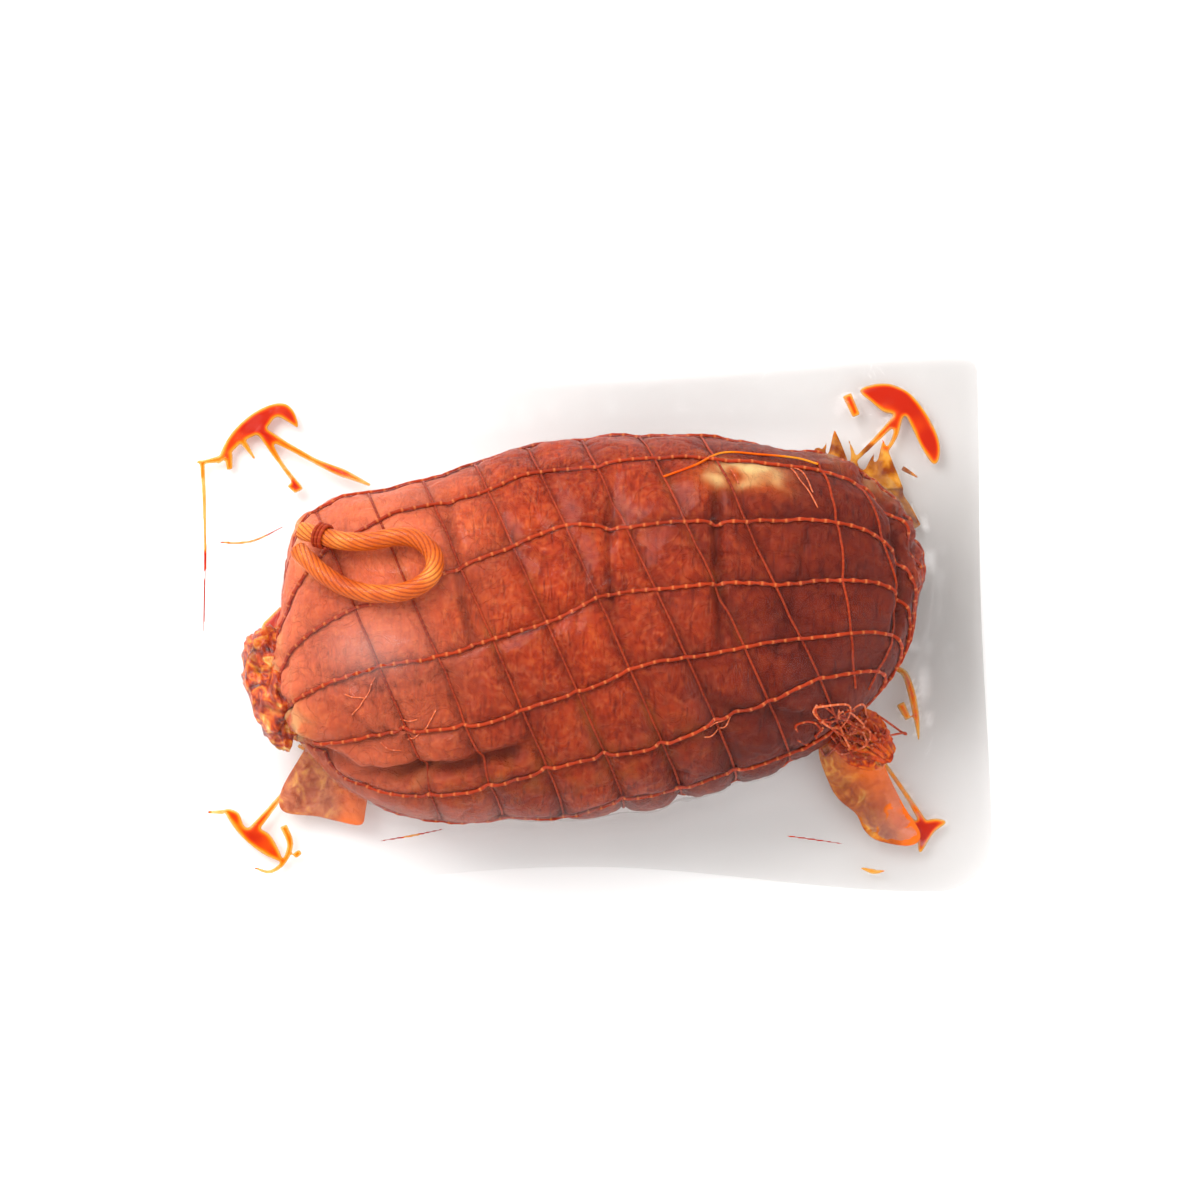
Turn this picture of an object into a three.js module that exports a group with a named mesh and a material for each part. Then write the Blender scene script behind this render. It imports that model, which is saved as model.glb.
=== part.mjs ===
// A large cured sausage in a natural casing and an elastic net, with a hanging loop of twisted
// cord, sealed in a clear vacuum pack. Millimetres, +Z up. The pack lies flat: the origin is on
// the surface it rests on, under the middle of the pack, and +X runs along the sausage.
//
// Everything is placed on one smooth body, a superellipse in plan and in height. The net, the
// loop and the film lie at named distances outside it, so they follow it when it changes.
import * as THREE from "three";

// ---- driving dimensions -------------------------------------------------------------------

const packLength = 310; // over the sealed edges
const packWidth = 204;
const filmWall = 0.3;
const sealGap = 0.3; // between the two films where they are welded
const clearance = 0.3; // between pieces that touch

const bodyLength = 238; // the sausage, without the tied ends
const bodyWidth = 144;
const bodyTop = 86; // highest point of the casing
const bodyMiddle = 40; // height of its widest line
const bodySide = -4; // how far its widest line sits to one side of the pack's middle

const hoopThread = 1.0; // elastic threads that run round the sausage
const hoopPitch = 22.6;
const hoopCount = 8;
const firstHoop = -84; // where the leftmost one crosses the middle line
const strandThread = 1.4; // knitted strands that run along it
const strandCount = 13;

const cordDiameter = 6.8; // hanging loop
const bindingThread = 1.6; // twine round the foot of the loop

const flangeHeight = 6; // where the two films meet, round the foot of the sausage
const edgeHeight = 2.2; // outer edge of the pack
const fatThickness = 3.4; // paprika fat squeezed into the corners of the pack

// ---- sizes that follow --------------------------------------------------------------------

const facetRoom = 0.5; // flat facets cut across curves by up to this much
const hoopOffset = clearance + facetRoom + hoopThread / 2;
const strandOffset = hoopOffset + hoopThread / 2 + clearance + facetRoom + strandThread / 2;
const netOffset = strandOffset + strandThread / 2;
const cordOffset = netOffset + clearance + facetRoom + cordDiameter / 2;
const filmOffset = netOffset + clearance + 3 * facetRoom;
const bodyFloor = filmWall + filmOffset; // flattened underside of the casing

const halfTurn = Math.PI;
const fullTurn = 2 * Math.PI;
const upright = new THREE.Vector3(0, 0, 1);

// ---- materials ----------------------------------------------------------------------------

function finish(color, roughness, extra = {}) {
  return new THREE.MeshStandardMaterial({ color, roughness, metalness: 0, ...extra });
}

const casingFinish = finish(0xb5452c, 0.42);
const elasticFinish = finish(0xd8603a, 0.7);
const twineFinish = finish(0xe8873c, 0.8);
const fatFinish = finish(0xe8590c, 0.25);
const filmFinish = finish(0xf1eeec, 0.12, { transparent: true, opacity: 0.25 });

// ---- outlines -----------------------------------------------------------------------------

// The sausage seen from above, as shares of half its length and half its width, anticlockwise.
const bodyOutlineShares = [
  [1.05, 0.28], [0.95, 0.67], [0.66, 0.89], [0.24, 0.97], [-0.15, 0.92], [-0.53, 0.71],
  [-0.87, 0.58], [-0.93, 0.17], [-0.94, -0.3], [-0.86, -0.65], [-0.59, -0.98], [-0.13, -1.02],
  [0.38, -0.9], [0.78, -0.61], [0.99, -0.22],
];

// A closed outline as its distance from the origin in any direction.
function radiusByAngle(points) {
  const curve = new THREE.CatmullRomCurve3(
    points.map(([x, y]) => new THREE.Vector3(x, y, 0)), true, "centripetal");
  const samples = curve.getSpacedPoints(360).slice(0, 360)
    .map((p) => ({ angle: Math.atan2(p.y, p.x), radius: Math.hypot(p.x, p.y) }))
    .sort((a, b) => a.angle - b.angle);
  return (angle) => {
    const a = Math.atan2(Math.sin(angle), Math.cos(angle));
    let next = samples.findIndex((s) => s.angle > a);
    if (next < 0) next = 0;
    const high = samples[next];
    const low = samples[(next + samples.length - 1) % samples.length];
    const span = (high.angle - low.angle + fullTurn) % fullTurn;
    const share = ((a - low.angle + fullTurn) % fullTurn) / span;
    return low.radius + (high.radius - low.radius) * share;
  };
}

const bodyRadius = radiusByAngle(
  bodyOutlineShares.map(([x, y]) => [(x * bodyLength) / 2, (y * bodyWidth) / 2 + bodySide]));

// The pack's four corners, anticlockwise, each with its radius, and how far the pull of the
// sausage bows the edge that follows it inwards.
const packCorners = [
  { x: packLength / 2, y: -packWidth / 2, radius: 22, bow: 1.5 },
  { x: packLength / 2 - 5, y: packWidth / 2, radius: 6, bow: 6 },
  { x: -packLength / 2 + 1, y: packWidth / 2 - 6, radius: 5, bow: 0 },
  { x: -packLength / 2, y: -packWidth / 2 + 1, radius: 22, bow: 9 },
];

const edgeStep = 20; // length of a straight run of the pack's edge

function packOutline() {
  const points = [];
  const cornerSteps = 3;
  packCorners.forEach((corner, i) => {
    const before = packCorners[(i + 3) % 4];
    const after = packCorners[(i + 1) % 4];
    const at = new THREE.Vector2(corner.x, corner.y);
    const back = new THREE.Vector2(before.x, before.y).sub(at).normalize();
    const on = new THREE.Vector2(after.x, after.y).sub(at).normalize();
    const inwards = back.clone().add(on);
    const centre = at.clone().addScaledVector(inwards, corner.radius);
    for (let k = 0; k <= cornerSteps; k++) {
      const turn = (k / cornerSteps) * (halfTurn / 2);
      const out = on.clone().multiplyScalar(-Math.cos(turn)).addScaledVector(back, -Math.sin(turn));
      points.push(centre.clone().addScaledVector(out, corner.radius));
    }
    const start = points[points.length - 1];
    const end = new THREE.Vector2(after.x, after.y).addScaledVector(on, -after.radius);
    const steps = Math.round(start.distanceTo(end) / edgeStep);
    const across = new THREE.Vector2(-on.y, on.x);
    for (let k = 1; k < steps; k++) {
      const share = k / steps;
      const bow = corner.bow * Math.sin(halfTurn * share) ** 2;
      points.push(start.clone().lerp(end, share).addScaledVector(across, bow));
    }
  });
  return points;
}

const packEdge = packOutline();

// ---- the body's surface -------------------------------------------------------------------

// The ends are blunter than the sides.
function bluntness(angle) {
  return 2.35 + 0.9 * Math.cos(angle) ** 4;
}

// A point at a plan angle and a latitude (from -90 to 90 degrees), a distance outside the body.
function bodyPoint(angle, latitude, outside) {
  const power = 2 / bluntness(angle);
  const reach = (bodyRadius(angle) + outside) * Math.cos(latitude) ** power;
  const rise = Math.abs(Math.sin(latitude)) ** power;
  const above = (bodyTop - bodyMiddle + outside) * rise;
  const below = (bodyMiddle + outside) * rise;
  const z = latitude > 0 ? bodyMiddle + above : Math.max(bodyMiddle - below, bodyFloor - outside);
  return new THREE.Vector3(reach * Math.cos(angle), reach * Math.sin(angle), z);
}

// Below 0 inside the surface that lies a distance outside the body, above 0 beyond it.
function bodyLevel(p, outside) {
  const angle = Math.atan2(p.y, p.x);
  const power = bluntness(angle);
  const high = p.z > bodyMiddle ? bodyTop - bodyMiddle : bodyMiddle;
  const across = Math.hypot(p.x, p.y) / (bodyRadius(angle) + outside);
  const up = Math.abs(p.z - bodyMiddle) / (high + outside);
  return Math.max(across ** power + up ** power - 1, (bodyFloor - outside - p.z) / bodyTop);
}

// Where a line from a point inside leaves that surface.
function surfaceFrom(inside, direction, outside) {
  let near = 0;
  let far = packLength;
  for (let i = 0; i < 30; i++) {
    const middle = (near + far) / 2;
    const p = inside.clone().addScaledVector(direction, middle);
    if (bodyLevel(p, outside) < 0) near = middle;
    else far = middle;
  }
  return inside.clone().addScaledVector(direction, near);
}

// The height of that surface above a point in plan.
function heightAt(x, y, outside) {
  const angle = Math.atan2(y, x);
  const power = bluntness(angle);
  const across = Math.min(1, Math.hypot(x, y) / (bodyRadius(angle) + outside));
  return bodyMiddle + (bodyTop - bodyMiddle + outside) * (1 - across ** power) ** (1 / power);
}

// ---- solids -------------------------------------------------------------------------------

// A closed skin: a sphere whose vertices are moved to place(column, v). v runs from 0 at one
// pole to 1 at the other, and columns run anticlockwise. From the row turnedFrom on, its
// squares are split along their other diagonal.
function closedSkin(columns, rows, place, turnedFrom = rows) {
  const geometry = new THREE.SphereGeometry(1, columns, rows);
  const position = geometry.getAttribute("position");
  const vertexAt = (row, column) => row * (columns + 1) + column;
  const triangles = [];
  for (let row = 0; row <= rows; row++) {
    for (let column = 0; column <= columns; column++) {
      const p = place(column % columns, row / rows);
      position.setXYZ(vertexAt(row, column), p.x, p.y, p.z);
    }
  }
  for (let row = 0; row < rows; row++) {
    for (let column = 0; column < columns; column++) {
      const [a, b] = [vertexAt(row, column + 1), vertexAt(row, column)];
      const [c, d] = [vertexAt(row + 1, column), vertexAt(row + 1, column + 1)];
      const turned = row >= turnedFrom;
      if (row > 0) triangles.push(a, b, turned ? c : d);
      if (row < rows - 1) triangles.push(turned ? a : b, c, d);
    }
  }
  geometry.setIndex(triangles);
  return geometry;
}

function roundSection(radius, sides) {
  const shape = new THREE.Shape();
  for (let i = 0; i < sides; i++) {
    const turn = (i / sides) * fullTurn;
    const [x, y] = [radius * Math.cos(turn), radius * Math.sin(turn)];
    if (i === 0) shape.moveTo(x, y);
    else shape.lineTo(x, y);
  }
  shape.closePath();
  return shape;
}

function openTube(points, radius, sides, steps) {
  return new THREE.ExtrudeGeometry(roundSection(radius, sides), {
    steps, bevelEnabled: false, extrudePath: new THREE.CatmullRomCurve3(points, false, "centripetal"),
  });
}

const pack = new THREE.Group();

function add(name, geometry, material) {
  const mesh = new THREE.Mesh(geometry, material);
  mesh.name = name;
  pack.add(mesh);
  return mesh;
}

// ---- sausage ------------------------------------------------------------------------------

const columnAngles = packEdge.map((p) => Math.atan2(p.y, p.x));

function sausageSkin() {
  return closedSkin(columnAngles.length, 16, (column, v) =>
    bodyPoint(columnAngles[column], (0.5 - v) * halfTurn, 0));
}

// A lump of gathered casing or net: an ellipsoid, turned about the upright axis.
function lump(centre, size, turn) {
  const geometry = new THREE.SphereGeometry(1, 14, 9);
  geometry.rotateX(halfTurn / 2);
  geometry.scale(size.x / 2, size.y / 2, size.z / 2);
  geometry.rotateZ(turn);
  geometry.translate(centre.x, centre.y, centre.z);
  return geometry;
}

// The tied left end stands just off the body, and the net is gathered at the right end.
const knotSize = new THREE.Vector3(14, 42, 26);
const knotCore = new THREE.Vector3(-bodyLength / 4, -0.195 * bodyWidth, bodyMiddle - 4);
const knotWay = new THREE.Vector3(-1, 0, 0);
const knotRing = { away: 52, across: 27, high: 18 }; // where the strands end round it
const knotFace = surfaceFrom(knotCore, knotWay, clearance + knotSize.x / 2 + 2 * facetRoom);
const gatherSize = new THREE.Vector3(16, 18, 18);
const gatherCore = new THREE.Vector3(0.26 * bodyLength, -bodyWidth / 9, bodyMiddle - 4);
const gatherWay = new THREE.Vector3(0.8, -0.57, -0.1).normalize();
const gatherRing = { away: 50, across: 20, high: 16 };
const gatherFace = surfaceFrom(gatherCore, gatherWay, clearance + gatherSize.y / 2 + facetRoom);

// ---- net ----------------------------------------------------------------------------------

// A ring of the net: where an upright plane across the sausage cuts the surface. The plane
// leans by this much, so its top edge lies further left. It leans less beside the gathered net.
function leanAt(x) {
  return THREE.MathUtils.degToRad(23.5 + x / 50 - 0.3 * Math.max(0, x - 2 * hoopPitch));
}

function ringPoint(x, turn, outside) {
  const lean = leanAt(x);
  const across = new THREE.Vector3(-Math.sin(lean), Math.cos(lean), 0);
  const inside = new THREE.Vector3(x, 0, bodyMiddle);
  const way = across.multiplyScalar(Math.sin(turn)).addScaledVector(upright, Math.cos(turn));
  return surfaceFrom(inside, way, outside);
}

const hoopPlaces = Array.from({ length: hoopCount }, (_, i) => firstHoop + i * hoopPitch);
const lastHoop = hoopPlaces[hoopCount - 1];
const middleHoop = hoopPlaces[hoopCount / 2];

function hoop(x) {
  const points = [];
  const count = 40;
  for (let i = 0; i < count; i++) {
    points.push(ringPoint(x, (i / count) * fullTurn, hoopOffset));
  }
  const ring = new THREE.CatmullRomCurve3(points, true, "centripetal");
  return new THREE.TubeGeometry(ring, count, hoopThread / 2, 4, true);
}

// A share of the way round a ring, measured along its length, from the top towards +Y.
function aroundRing(x, share, outside) {
  const samples = [];
  const count = 72;
  let length = 0;
  for (let i = 0; i <= count; i++) {
    const p = ringPoint(x, (i / count) * fullTurn, outside);
    if (i > 0) length += p.distanceTo(samples[i - 1].p);
    samples.push({ p, length });
  }
  const wanted = (((share % 1) + 1) % 1) * length;
  const next = samples.findIndex((s) => s.length >= wanted);
  const [low, high] = [samples[Math.max(next - 1, 0)], samples[next]];
  const part = (wanted - low.length) / Math.max(high.length - low.length, 1e-6);
  return low.p.clone().lerp(high.p, part);
}

// The strands creep round the sausage from left to right, by this share of a turn.
function creep(x) {
  const hoops = (x - middleHoop) / hoopPitch;
  return hoops < 0 ? hoops * 0.021 : hoops * 0.008;
}

// The end of a strand, on a small ring round the tied end or the gathered net.
function strandEnd(core, way, ring, share) {
  const side = new THREE.Vector3(-way.y, way.x, 0).normalize();
  if (side.y < 0) side.negate();
  const up = new THREE.Vector3().crossVectors(way, side);
  if (up.z < 0) up.negate();
  const turn = share * fullTurn;
  const target = way.clone().multiplyScalar(ring.away)
    .addScaledVector(side, ring.across * Math.sin(turn))
    .addScaledVector(up, ring.high * Math.cos(turn));
  return surfaceFrom(core, target.normalize(), strandOffset);
}

// Points on the surface between two of its points, seen from a core inside the sausage.
function acrossSurface(core, from, to) {
  const points = [];
  const count = Math.max(3, Math.ceil(from.distanceTo(to) / 7));
  for (let i = 1; i < count; i++) {
    const way = from.clone().lerp(to, i / count).sub(core).normalize();
    points.push(surfaceFrom(core, way, strandOffset));
  }
  return points;
}

function strand(index) {
  const share = index / strandCount;
  const ringPoints = [];
  const count = 2 * (hoopCount - 1);
  for (let i = 0; i <= count; i++) {
    const x = firstHoop + ((lastHoop - firstHoop) * i) / count;
    ringPoints.push(aroundRing(x, share + creep(x), strandOffset));
  }
  const leftEnd = strandEnd(knotCore, knotWay, knotRing, share + creep(firstHoop));
  const rightEnd = strandEnd(gatherCore, gatherWay, gatherRing, share + creep(lastHoop));
  const points = [
    leftEnd,
    ...acrossSurface(knotCore, leftEnd, ringPoints[0]),
    ...ringPoints,
    ...acrossSurface(gatherCore, ringPoints[count], rightEnd),
    rightEnd,
  ];
  return openTube(points, strandThread / 2, 4, 46);
}

// ---- hanging loop -------------------------------------------------------------------------

// The cord's route in plan, from its foot at the upper left of the sausage and back to it.
const loopRoute = [
  [-102, 26, 1], [-95.5, 24, 1], [-87, 21.5, 0.4], [-77, 21], [-68, 22.5], [-61, 22], [-55.5, 18.5],
  [-53, 13.5], [-54.5, 8], [-60, 3.8], [-68, 1.7], [-78, 2.1], [-87, 5.1], [-94.5, 10.1],
  [-100, 15.5], [-103.5, 19],
];

function hangingLoop() {
  return openTube(loopRoute.map(loopPoint), cordDiameter / 2, 8, 44);
}

// A point of the route. Where the third number is 1 the cord lies on top of its binding.
function loopPoint([x, y, onBinding = 0]) {
  const bindingRoom = onBinding * (bindingThread + clearance + facetRoom);
  return new THREE.Vector3(x, y, heightAt(x, y, cordOffset) + bindingRoom);
}

// A ring of twine ties the foot of the loop, square to the cord.
function binding() {
  const radius = cordDiameter / 2 + clearance + facetRoom + bindingThread / 2;
  const geometry = new THREE.TorusGeometry(radius, bindingThread / 2, 5, 14);
  const along = loopPoint(loopRoute[2]).sub(loopPoint(loopRoute[0])).normalize();
  geometry.applyQuaternion(new THREE.Quaternion().setFromUnitVectors(upright, along));
  const at = loopPoint(loopRoute[1]);
  geometry.translate(at.x, at.y, at.z);
  return geometry;
}

// ---- between the films --------------------------------------------------------------------

// Flat lumps that lie on the lower film beside the sausage: centre, half lengths, thickness.
const beside = {
  casing_tail: { x: -101, y: -65, long: 15, wide: 10, turn: 2.4, thick: 17 },
  net_tail: { x: 110, y: -66, long: 20, wide: 8, turn: -0.86, thick: 8 },
  fat_upper_left: { x: -124, y: 71, long: 17, wide: 8, turn: 0.75, thick: fatThickness },
  fat_upper_right: { x: 124, y: 75, long: 18, wide: 8, turn: -0.8, thick: fatThickness },
  fat_lower_left: { x: -122, y: -81, long: 15, wide: 7, turn: -0.6, thick: fatThickness },
  fat_lower_right: { x: 134, y: -77, long: 9, wide: 4, turn: 1.1, thick: fatThickness },
};

// How far the film stands off the sausage over its ends and over the loop.
const overBody = [
  { x: -78, y: 13.5, long: 27, wide: 17, turn: 0, thick: cordDiameter + 2 * bindingThread + 2 },
  { x: knotFace.x, y: knotFace.y, long: 14, wide: 25, turn: 0, thick: knotSize.x },
  { x: gatherFace.x, y: gatherFace.y, long: 15, wide: 15, turn: 0, thick: gatherSize.y - 3 },
];

const lumpRoom = 3; // the film's facets are wide, so it clears a lump by this much all round

// Full height over the lump and a little beyond, and down to nothing at twice its size.
function lift(x, y, at) {
  const [dx, dy] = [x - at.x, y - at.y];
  const along = (dx * Math.cos(at.turn) + dy * Math.sin(at.turn)) / (at.long + lumpRoom);
  const across = (dy * Math.cos(at.turn) - dx * Math.sin(at.turn)) / (at.wide + lumpRoom);
  return at.thick * THREE.MathUtils.smoothstep(2.1 - Math.hypot(along, across), 0, 1);
}

function mostLift(x, y, lumps) {
  return Math.max(...lumps.map((at) => lift(x, y, at)));
}

// ---- film ---------------------------------------------------------------------------------

const packRadius = radiusByAngle(packEdge.map((p) => [p.x, p.y]));
const underLatitude = THREE.MathUtils.degToRad(-52); // where the lower film leaves the body
const overLatitude = THREE.MathUtils.degToRad(-8); // where the upper film leaves it
const kneeShare = 0.15; // the lower film reaches its full height this far out

// The lower film's top side beside the sausage.
function lowerFilmTop(x, y) {
  const angle = Math.atan2(y, x);
  const foot = bodyPoint(angle, underLatitude, filmOffset);
  const footReach = Math.hypot(foot.x, foot.y);
  const outwards = (Math.hypot(x, y) - footReach) / (packRadius(angle) - footReach);
  const share = THREE.MathUtils.clamp(outwards, 0, 1);
  const wave = 0.8 * Math.sin(x / 31 + 0.6) * Math.cos(y / 27) * Math.sin(halfTurn * share);
  const rise = THREE.MathUtils.smoothstep(share, 0, kneeShare);
  const knee = foot.z + (flangeHeight - foot.z) * rise;
  const fall = Math.max(0, share - kneeShare) / (1 - kneeShare);
  return knee + (edgeHeight + filmWall - flangeHeight) * fall + wave;
}

// A point of the lower film, thickened by extra outwards. v runs from 0 under its middle to 1
// at the pack's edge.
function lowerFilmPoint(column, v, extra) {
  const underBody = 0.5;
  const angle = columnAngles[column];
  const latitude = -halfTurn / 2 + (underLatitude + halfTurn / 2) * Math.min(1, v / underBody);
  const foot = bodyPoint(angle, latitude, filmOffset);
  if (v > underBody) {
    const outwards = (v - underBody) / (1 - underBody);
    foot.lerp(new THREE.Vector3(packEdge[column].x, packEdge[column].y, 0), outwards);
    foot.z = lowerFilmTop(foot.x, foot.y);
  }
  foot.z -= extra;
  return foot;
}

// A point of the upper film, as the lower one. v runs from 0 at its top to 1 at the pack's
// edge. Its thickness goes outwards from the body, and upwards at the edge.
function upperFilmPoint(column, v, extra) {
  const onBody = 0.56;
  const angle = columnAngles[column];
  const latitude = halfTurn / 2 + (overLatitude - halfTurn / 2) * Math.min(1, v / onBody);
  const skin = bodyPoint(angle, latitude, 0);
  const stand = filmOffset + mostLift(skin.x, skin.y, overBody);
  const p = bodyPoint(angle, latitude, stand);
  const way = bodyPoint(angle, latitude, stand + 1).sub(p);
  if (v > onBody) {
    const outwards = (v - onBody) / (1 - onBody);
    const x = p.x + (packEdge[column].x - p.x) * outwards;
    const y = p.y + (packEdge[column].y - p.y) * outwards;
    const besideLift = mostLift(x, y, Object.values(beside));
    const closed = THREE.MathUtils.smoothstep(1 - outwards, 0, 0.15);
    const room = sealGap + (besideLift > 0 ? besideLift + 3 * clearance : 0) * closed;
    const low = lowerFilmTop(x, y) + room;
    p.set(x, y, low + Math.max(0, p.z - low) * (1 - outwards) ** 6);
    way.lerp(upright, outwards);
  }
  return p.addScaledVector(way.normalize(), extra);
}

// A film is a thin skin: its outer side from the middle out to the edge, then its inner side
// back, or the other way round for the one underneath. Both sides are split into the same
// triangles, so they stay one wall apart everywhere.
function filmSkin(rows, pointAt, firstSide, secondSide) {
  const place = (column, v) =>
    v <= 0.5 ? pointAt(column, v * 2, firstSide) : pointAt(column, (1 - v) * 2, secondSide);
  return closedSkin(columnAngles.length, rows * 2, place, rows);
}

// A lump between the films: its underside follows the lower film.
function lumpBeside(at) {
  const columns = 14;
  return closedSkin(columns, 8, (column, v) => {
    const turn = (column / columns) * fullTurn;
    const out = Math.sin(v * halfTurn);
    const [dx, dy] = [out * at.long * Math.cos(turn), out * at.wide * Math.sin(turn)];
    const x = at.x + dx * Math.cos(at.turn) - dy * Math.sin(at.turn);
    const y = at.y + dx * Math.sin(at.turn) + dy * Math.cos(at.turn);
    const up = (1 + Math.cos(v * halfTurn)) / 2;
    return new THREE.Vector3(x, y, lowerFilmTop(x, y) + clearance + facetRoom + at.thick * up);
  });
}

// ---- assembly -----------------------------------------------------------------------------

add("sausage", sausageSkin(), casingFinish);
add("casing_knot", lump(knotFace, knotSize, 0), casingFinish);
add("net_gather", lump(gatherFace, gatherSize, Math.atan2(gatherWay.y, gatherWay.x)), elasticFinish);
hoopPlaces.forEach((x, i) =>
  add(`net_hoop_${String(i + 1).padStart(2, "0")}`, hoop(x), elasticFinish));
for (let i = 0; i < strandCount; i++) {
  add(`net_strand_${String(i + 1).padStart(2, "0")}`, strand(i), elasticFinish);
}
add("hanging_loop", hangingLoop(), twineFinish);
add("loop_binding", binding(), elasticFinish);
for (const [name, at] of Object.entries(beside)) {
  add(name, lumpBeside(at), name.startsWith("fat") ? fatFinish : casingFinish);
}
add("film_upper", filmSkin(15, upperFilmPoint, filmWall, 0), filmFinish);
add("film_lower", filmSkin(10, lowerFilmPoint, 0, filmWall), filmFinish);

export default pack;
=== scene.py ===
import bpy
import bmesh
import math
import numpy as np
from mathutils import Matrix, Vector, noise
from mathutils.bvhtree import BVHTree
from mathutils.kdtree import KDTree


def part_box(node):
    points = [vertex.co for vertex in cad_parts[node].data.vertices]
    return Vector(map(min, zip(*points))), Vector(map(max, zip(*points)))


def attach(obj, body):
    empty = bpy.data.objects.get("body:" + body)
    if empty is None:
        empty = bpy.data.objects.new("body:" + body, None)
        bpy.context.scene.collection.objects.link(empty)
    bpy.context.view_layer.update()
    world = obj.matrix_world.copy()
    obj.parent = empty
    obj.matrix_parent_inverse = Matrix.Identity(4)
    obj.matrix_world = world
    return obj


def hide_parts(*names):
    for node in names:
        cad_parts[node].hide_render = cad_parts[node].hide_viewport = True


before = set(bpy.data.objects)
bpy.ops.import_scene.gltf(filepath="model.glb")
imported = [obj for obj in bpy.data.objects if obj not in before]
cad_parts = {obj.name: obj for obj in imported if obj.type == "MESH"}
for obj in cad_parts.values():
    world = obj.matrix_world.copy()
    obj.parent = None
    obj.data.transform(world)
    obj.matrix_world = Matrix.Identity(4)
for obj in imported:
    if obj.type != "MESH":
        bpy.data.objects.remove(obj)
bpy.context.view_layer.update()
mm = 0.001


def toLinear(hexText, alpha=1.0):
    # sRGB hex, as read off a colour card, to the linear values that Blender works in
    out = []
    for i in (1, 3, 5):
        c = int(hexText[i:i + 2], 16) / 255
        out.append(c / 12.92 if c <= 0.04045 else ((c + 0.055) / 1.055) ** 2.4)
    return (*out, alpha)


def addNode(tree, kind, settings=None, **links):
    # one node with its settings; a link is a socket of another node, a plain value is set on the input
    node = tree.nodes.new(kind)
    for key, value in (settings or {}).items():
        setattr(node, key, value)
    for key, value in links.items():
        name = key.replace("_", " ")
        numbered = key.startswith("in") and key[2:].isdigit()
        socket = node.inputs[int(key[2:])] if numbered else node.inputs[name]
        if isinstance(value, bpy.types.NodeSocket):
            tree.links.new(value, socket)
        else:
            socket.default_value = value
    return node


def addRamp(tree, fac, stops):
    node = addNode(tree, "ShaderNodeValToRGB", Fac=fac)
    ramp = node.color_ramp
    while len(ramp.elements) > len(stops):
        ramp.elements.remove(ramp.elements[-1])
    while len(ramp.elements) < len(stops):
        ramp.elements.new(0.5)
    for element, (place, colour) in zip(ramp.elements, stops):
        element.position = place
        element.color = toLinear(colour) if isinstance(colour, str) else (colour, colour, colour, 1)
    return node.outputs["Color"]


def newMaterial(name):
    material = bpy.data.materials.new(name)
    material.use_nodes = True
    tree = material.node_tree
    tree.nodes.clear()
    output = tree.nodes.new("ShaderNodeOutputMaterial")
    return material, tree, output


def meshPiece(name, verts, faces, material):
    mesh = bpy.data.meshes.new(name)
    mesh.from_pydata([tuple(v) for v in verts], [], [tuple(f) for f in faces])
    mesh.update()
    piece = bpy.data.objects.new(name, mesh)
    bpy.context.collection.objects.link(piece)
    mesh.polygons.foreach_set("use_smooth", [True] * len(mesh.polygons))
    finishPiece(piece, material)
    return piece


def finishPiece(piece, material):
    piece.data.materials.clear()
    piece.data.materials.append(material)
    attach(piece, "root")


def selectOnly(piece):
    bpy.ops.object.select_all(action="DESELECT")
    piece.select_set(True)
    bpy.context.view_layer.objects.active = piece


def applyModifier(piece, kind, **settings):
    selectOnly(piece)
    modifier = piece.modifiers.new(kind.title(), kind)
    for key, value in settings.items():
        setattr(modifier, key, value)
    bpy.ops.object.modifier_apply(modifier=modifier.name)


def vertexArray(piece):
    co = np.empty(len(piece.data.vertices) * 3)
    piece.data.vertices.foreach_get("co", co)
    return co.reshape(-1, 3)


def normalArray(piece):
    no = np.empty(len(piece.data.vertices) * 3)
    piece.data.vertices.foreach_get("normal", no)
    return no.reshape(-1, 3)


def setVertices(piece, co):
    piece.data.vertices.foreach_set("co", co.ravel())
    piece.data.update()


def setAttribute(piece, name, values):
    attribute = piece.data.attributes.new(name, "FLOAT", "POINT")
    attribute.data.foreach_set("value", np.asarray(values, dtype=np.float32))


def treeOf(piece):
    return BVHTree.FromPolygons(
        [v.co.copy() for v in piece.data.vertices], [tuple(p.vertices) for p in piece.data.polygons])


def smoothStep(x, low, high):
    t = np.clip((np.asarray(x, dtype=float) - low) / (high - low), 0, 1)
    return t * t * (3 - 2 * t)


def noiseAt(points, scale, seed, octaves=1):
    # smooth noise from -1 to 1 with features of about that many millimetres
    k = 1 / (scale * mm)
    out = np.zeros(len(points))
    for octave in range(octaves):
        shift = Vector((seed * 7.3, seed * 3.1 + octave * 11, seed * 1.7))
        f = k * 2 ** octave
        out += np.array([noise.noise(Vector(p) * f + shift) for p in points]) / 2 ** octave
    return out


def smoothPath(points, step, closed=False):
    # even points along a Catmull-Rom curve through the given ones
    p = np.array(points, dtype=float)
    if closed:
        p = np.vstack([p[-1:], p, p[:2]])
    else:
        p = np.vstack([2 * p[0] - p[1], p, 2 * p[-1] - p[-2]])
    out = []
    for i in range(1, len(p) - 2):
        a, b, c, d = p[i - 1:i + 3]
        for t in np.linspace(0, 1, 12, endpoint=False):
            out.append(0.5 * (2 * b + (c - a) * t + (2 * a - 5 * b + 4 * c - d) * t ** 2
                              + (3 * b - a - 3 * c + d) * t ** 3))
    if not closed:
        out.append(p[-2])
    out = np.array(out + [out[0]] if closed else out)
    length = np.concatenate([[0], np.cumsum(np.linalg.norm(np.diff(out, axis=0), axis=1))])
    count = max(3, int(round(length[-1] / step)))
    at = np.linspace(0, length[-1], count, endpoint=not closed)
    return np.stack([np.interp(at, length, out[:, k]) for k in range(3)], axis=1)


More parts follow.
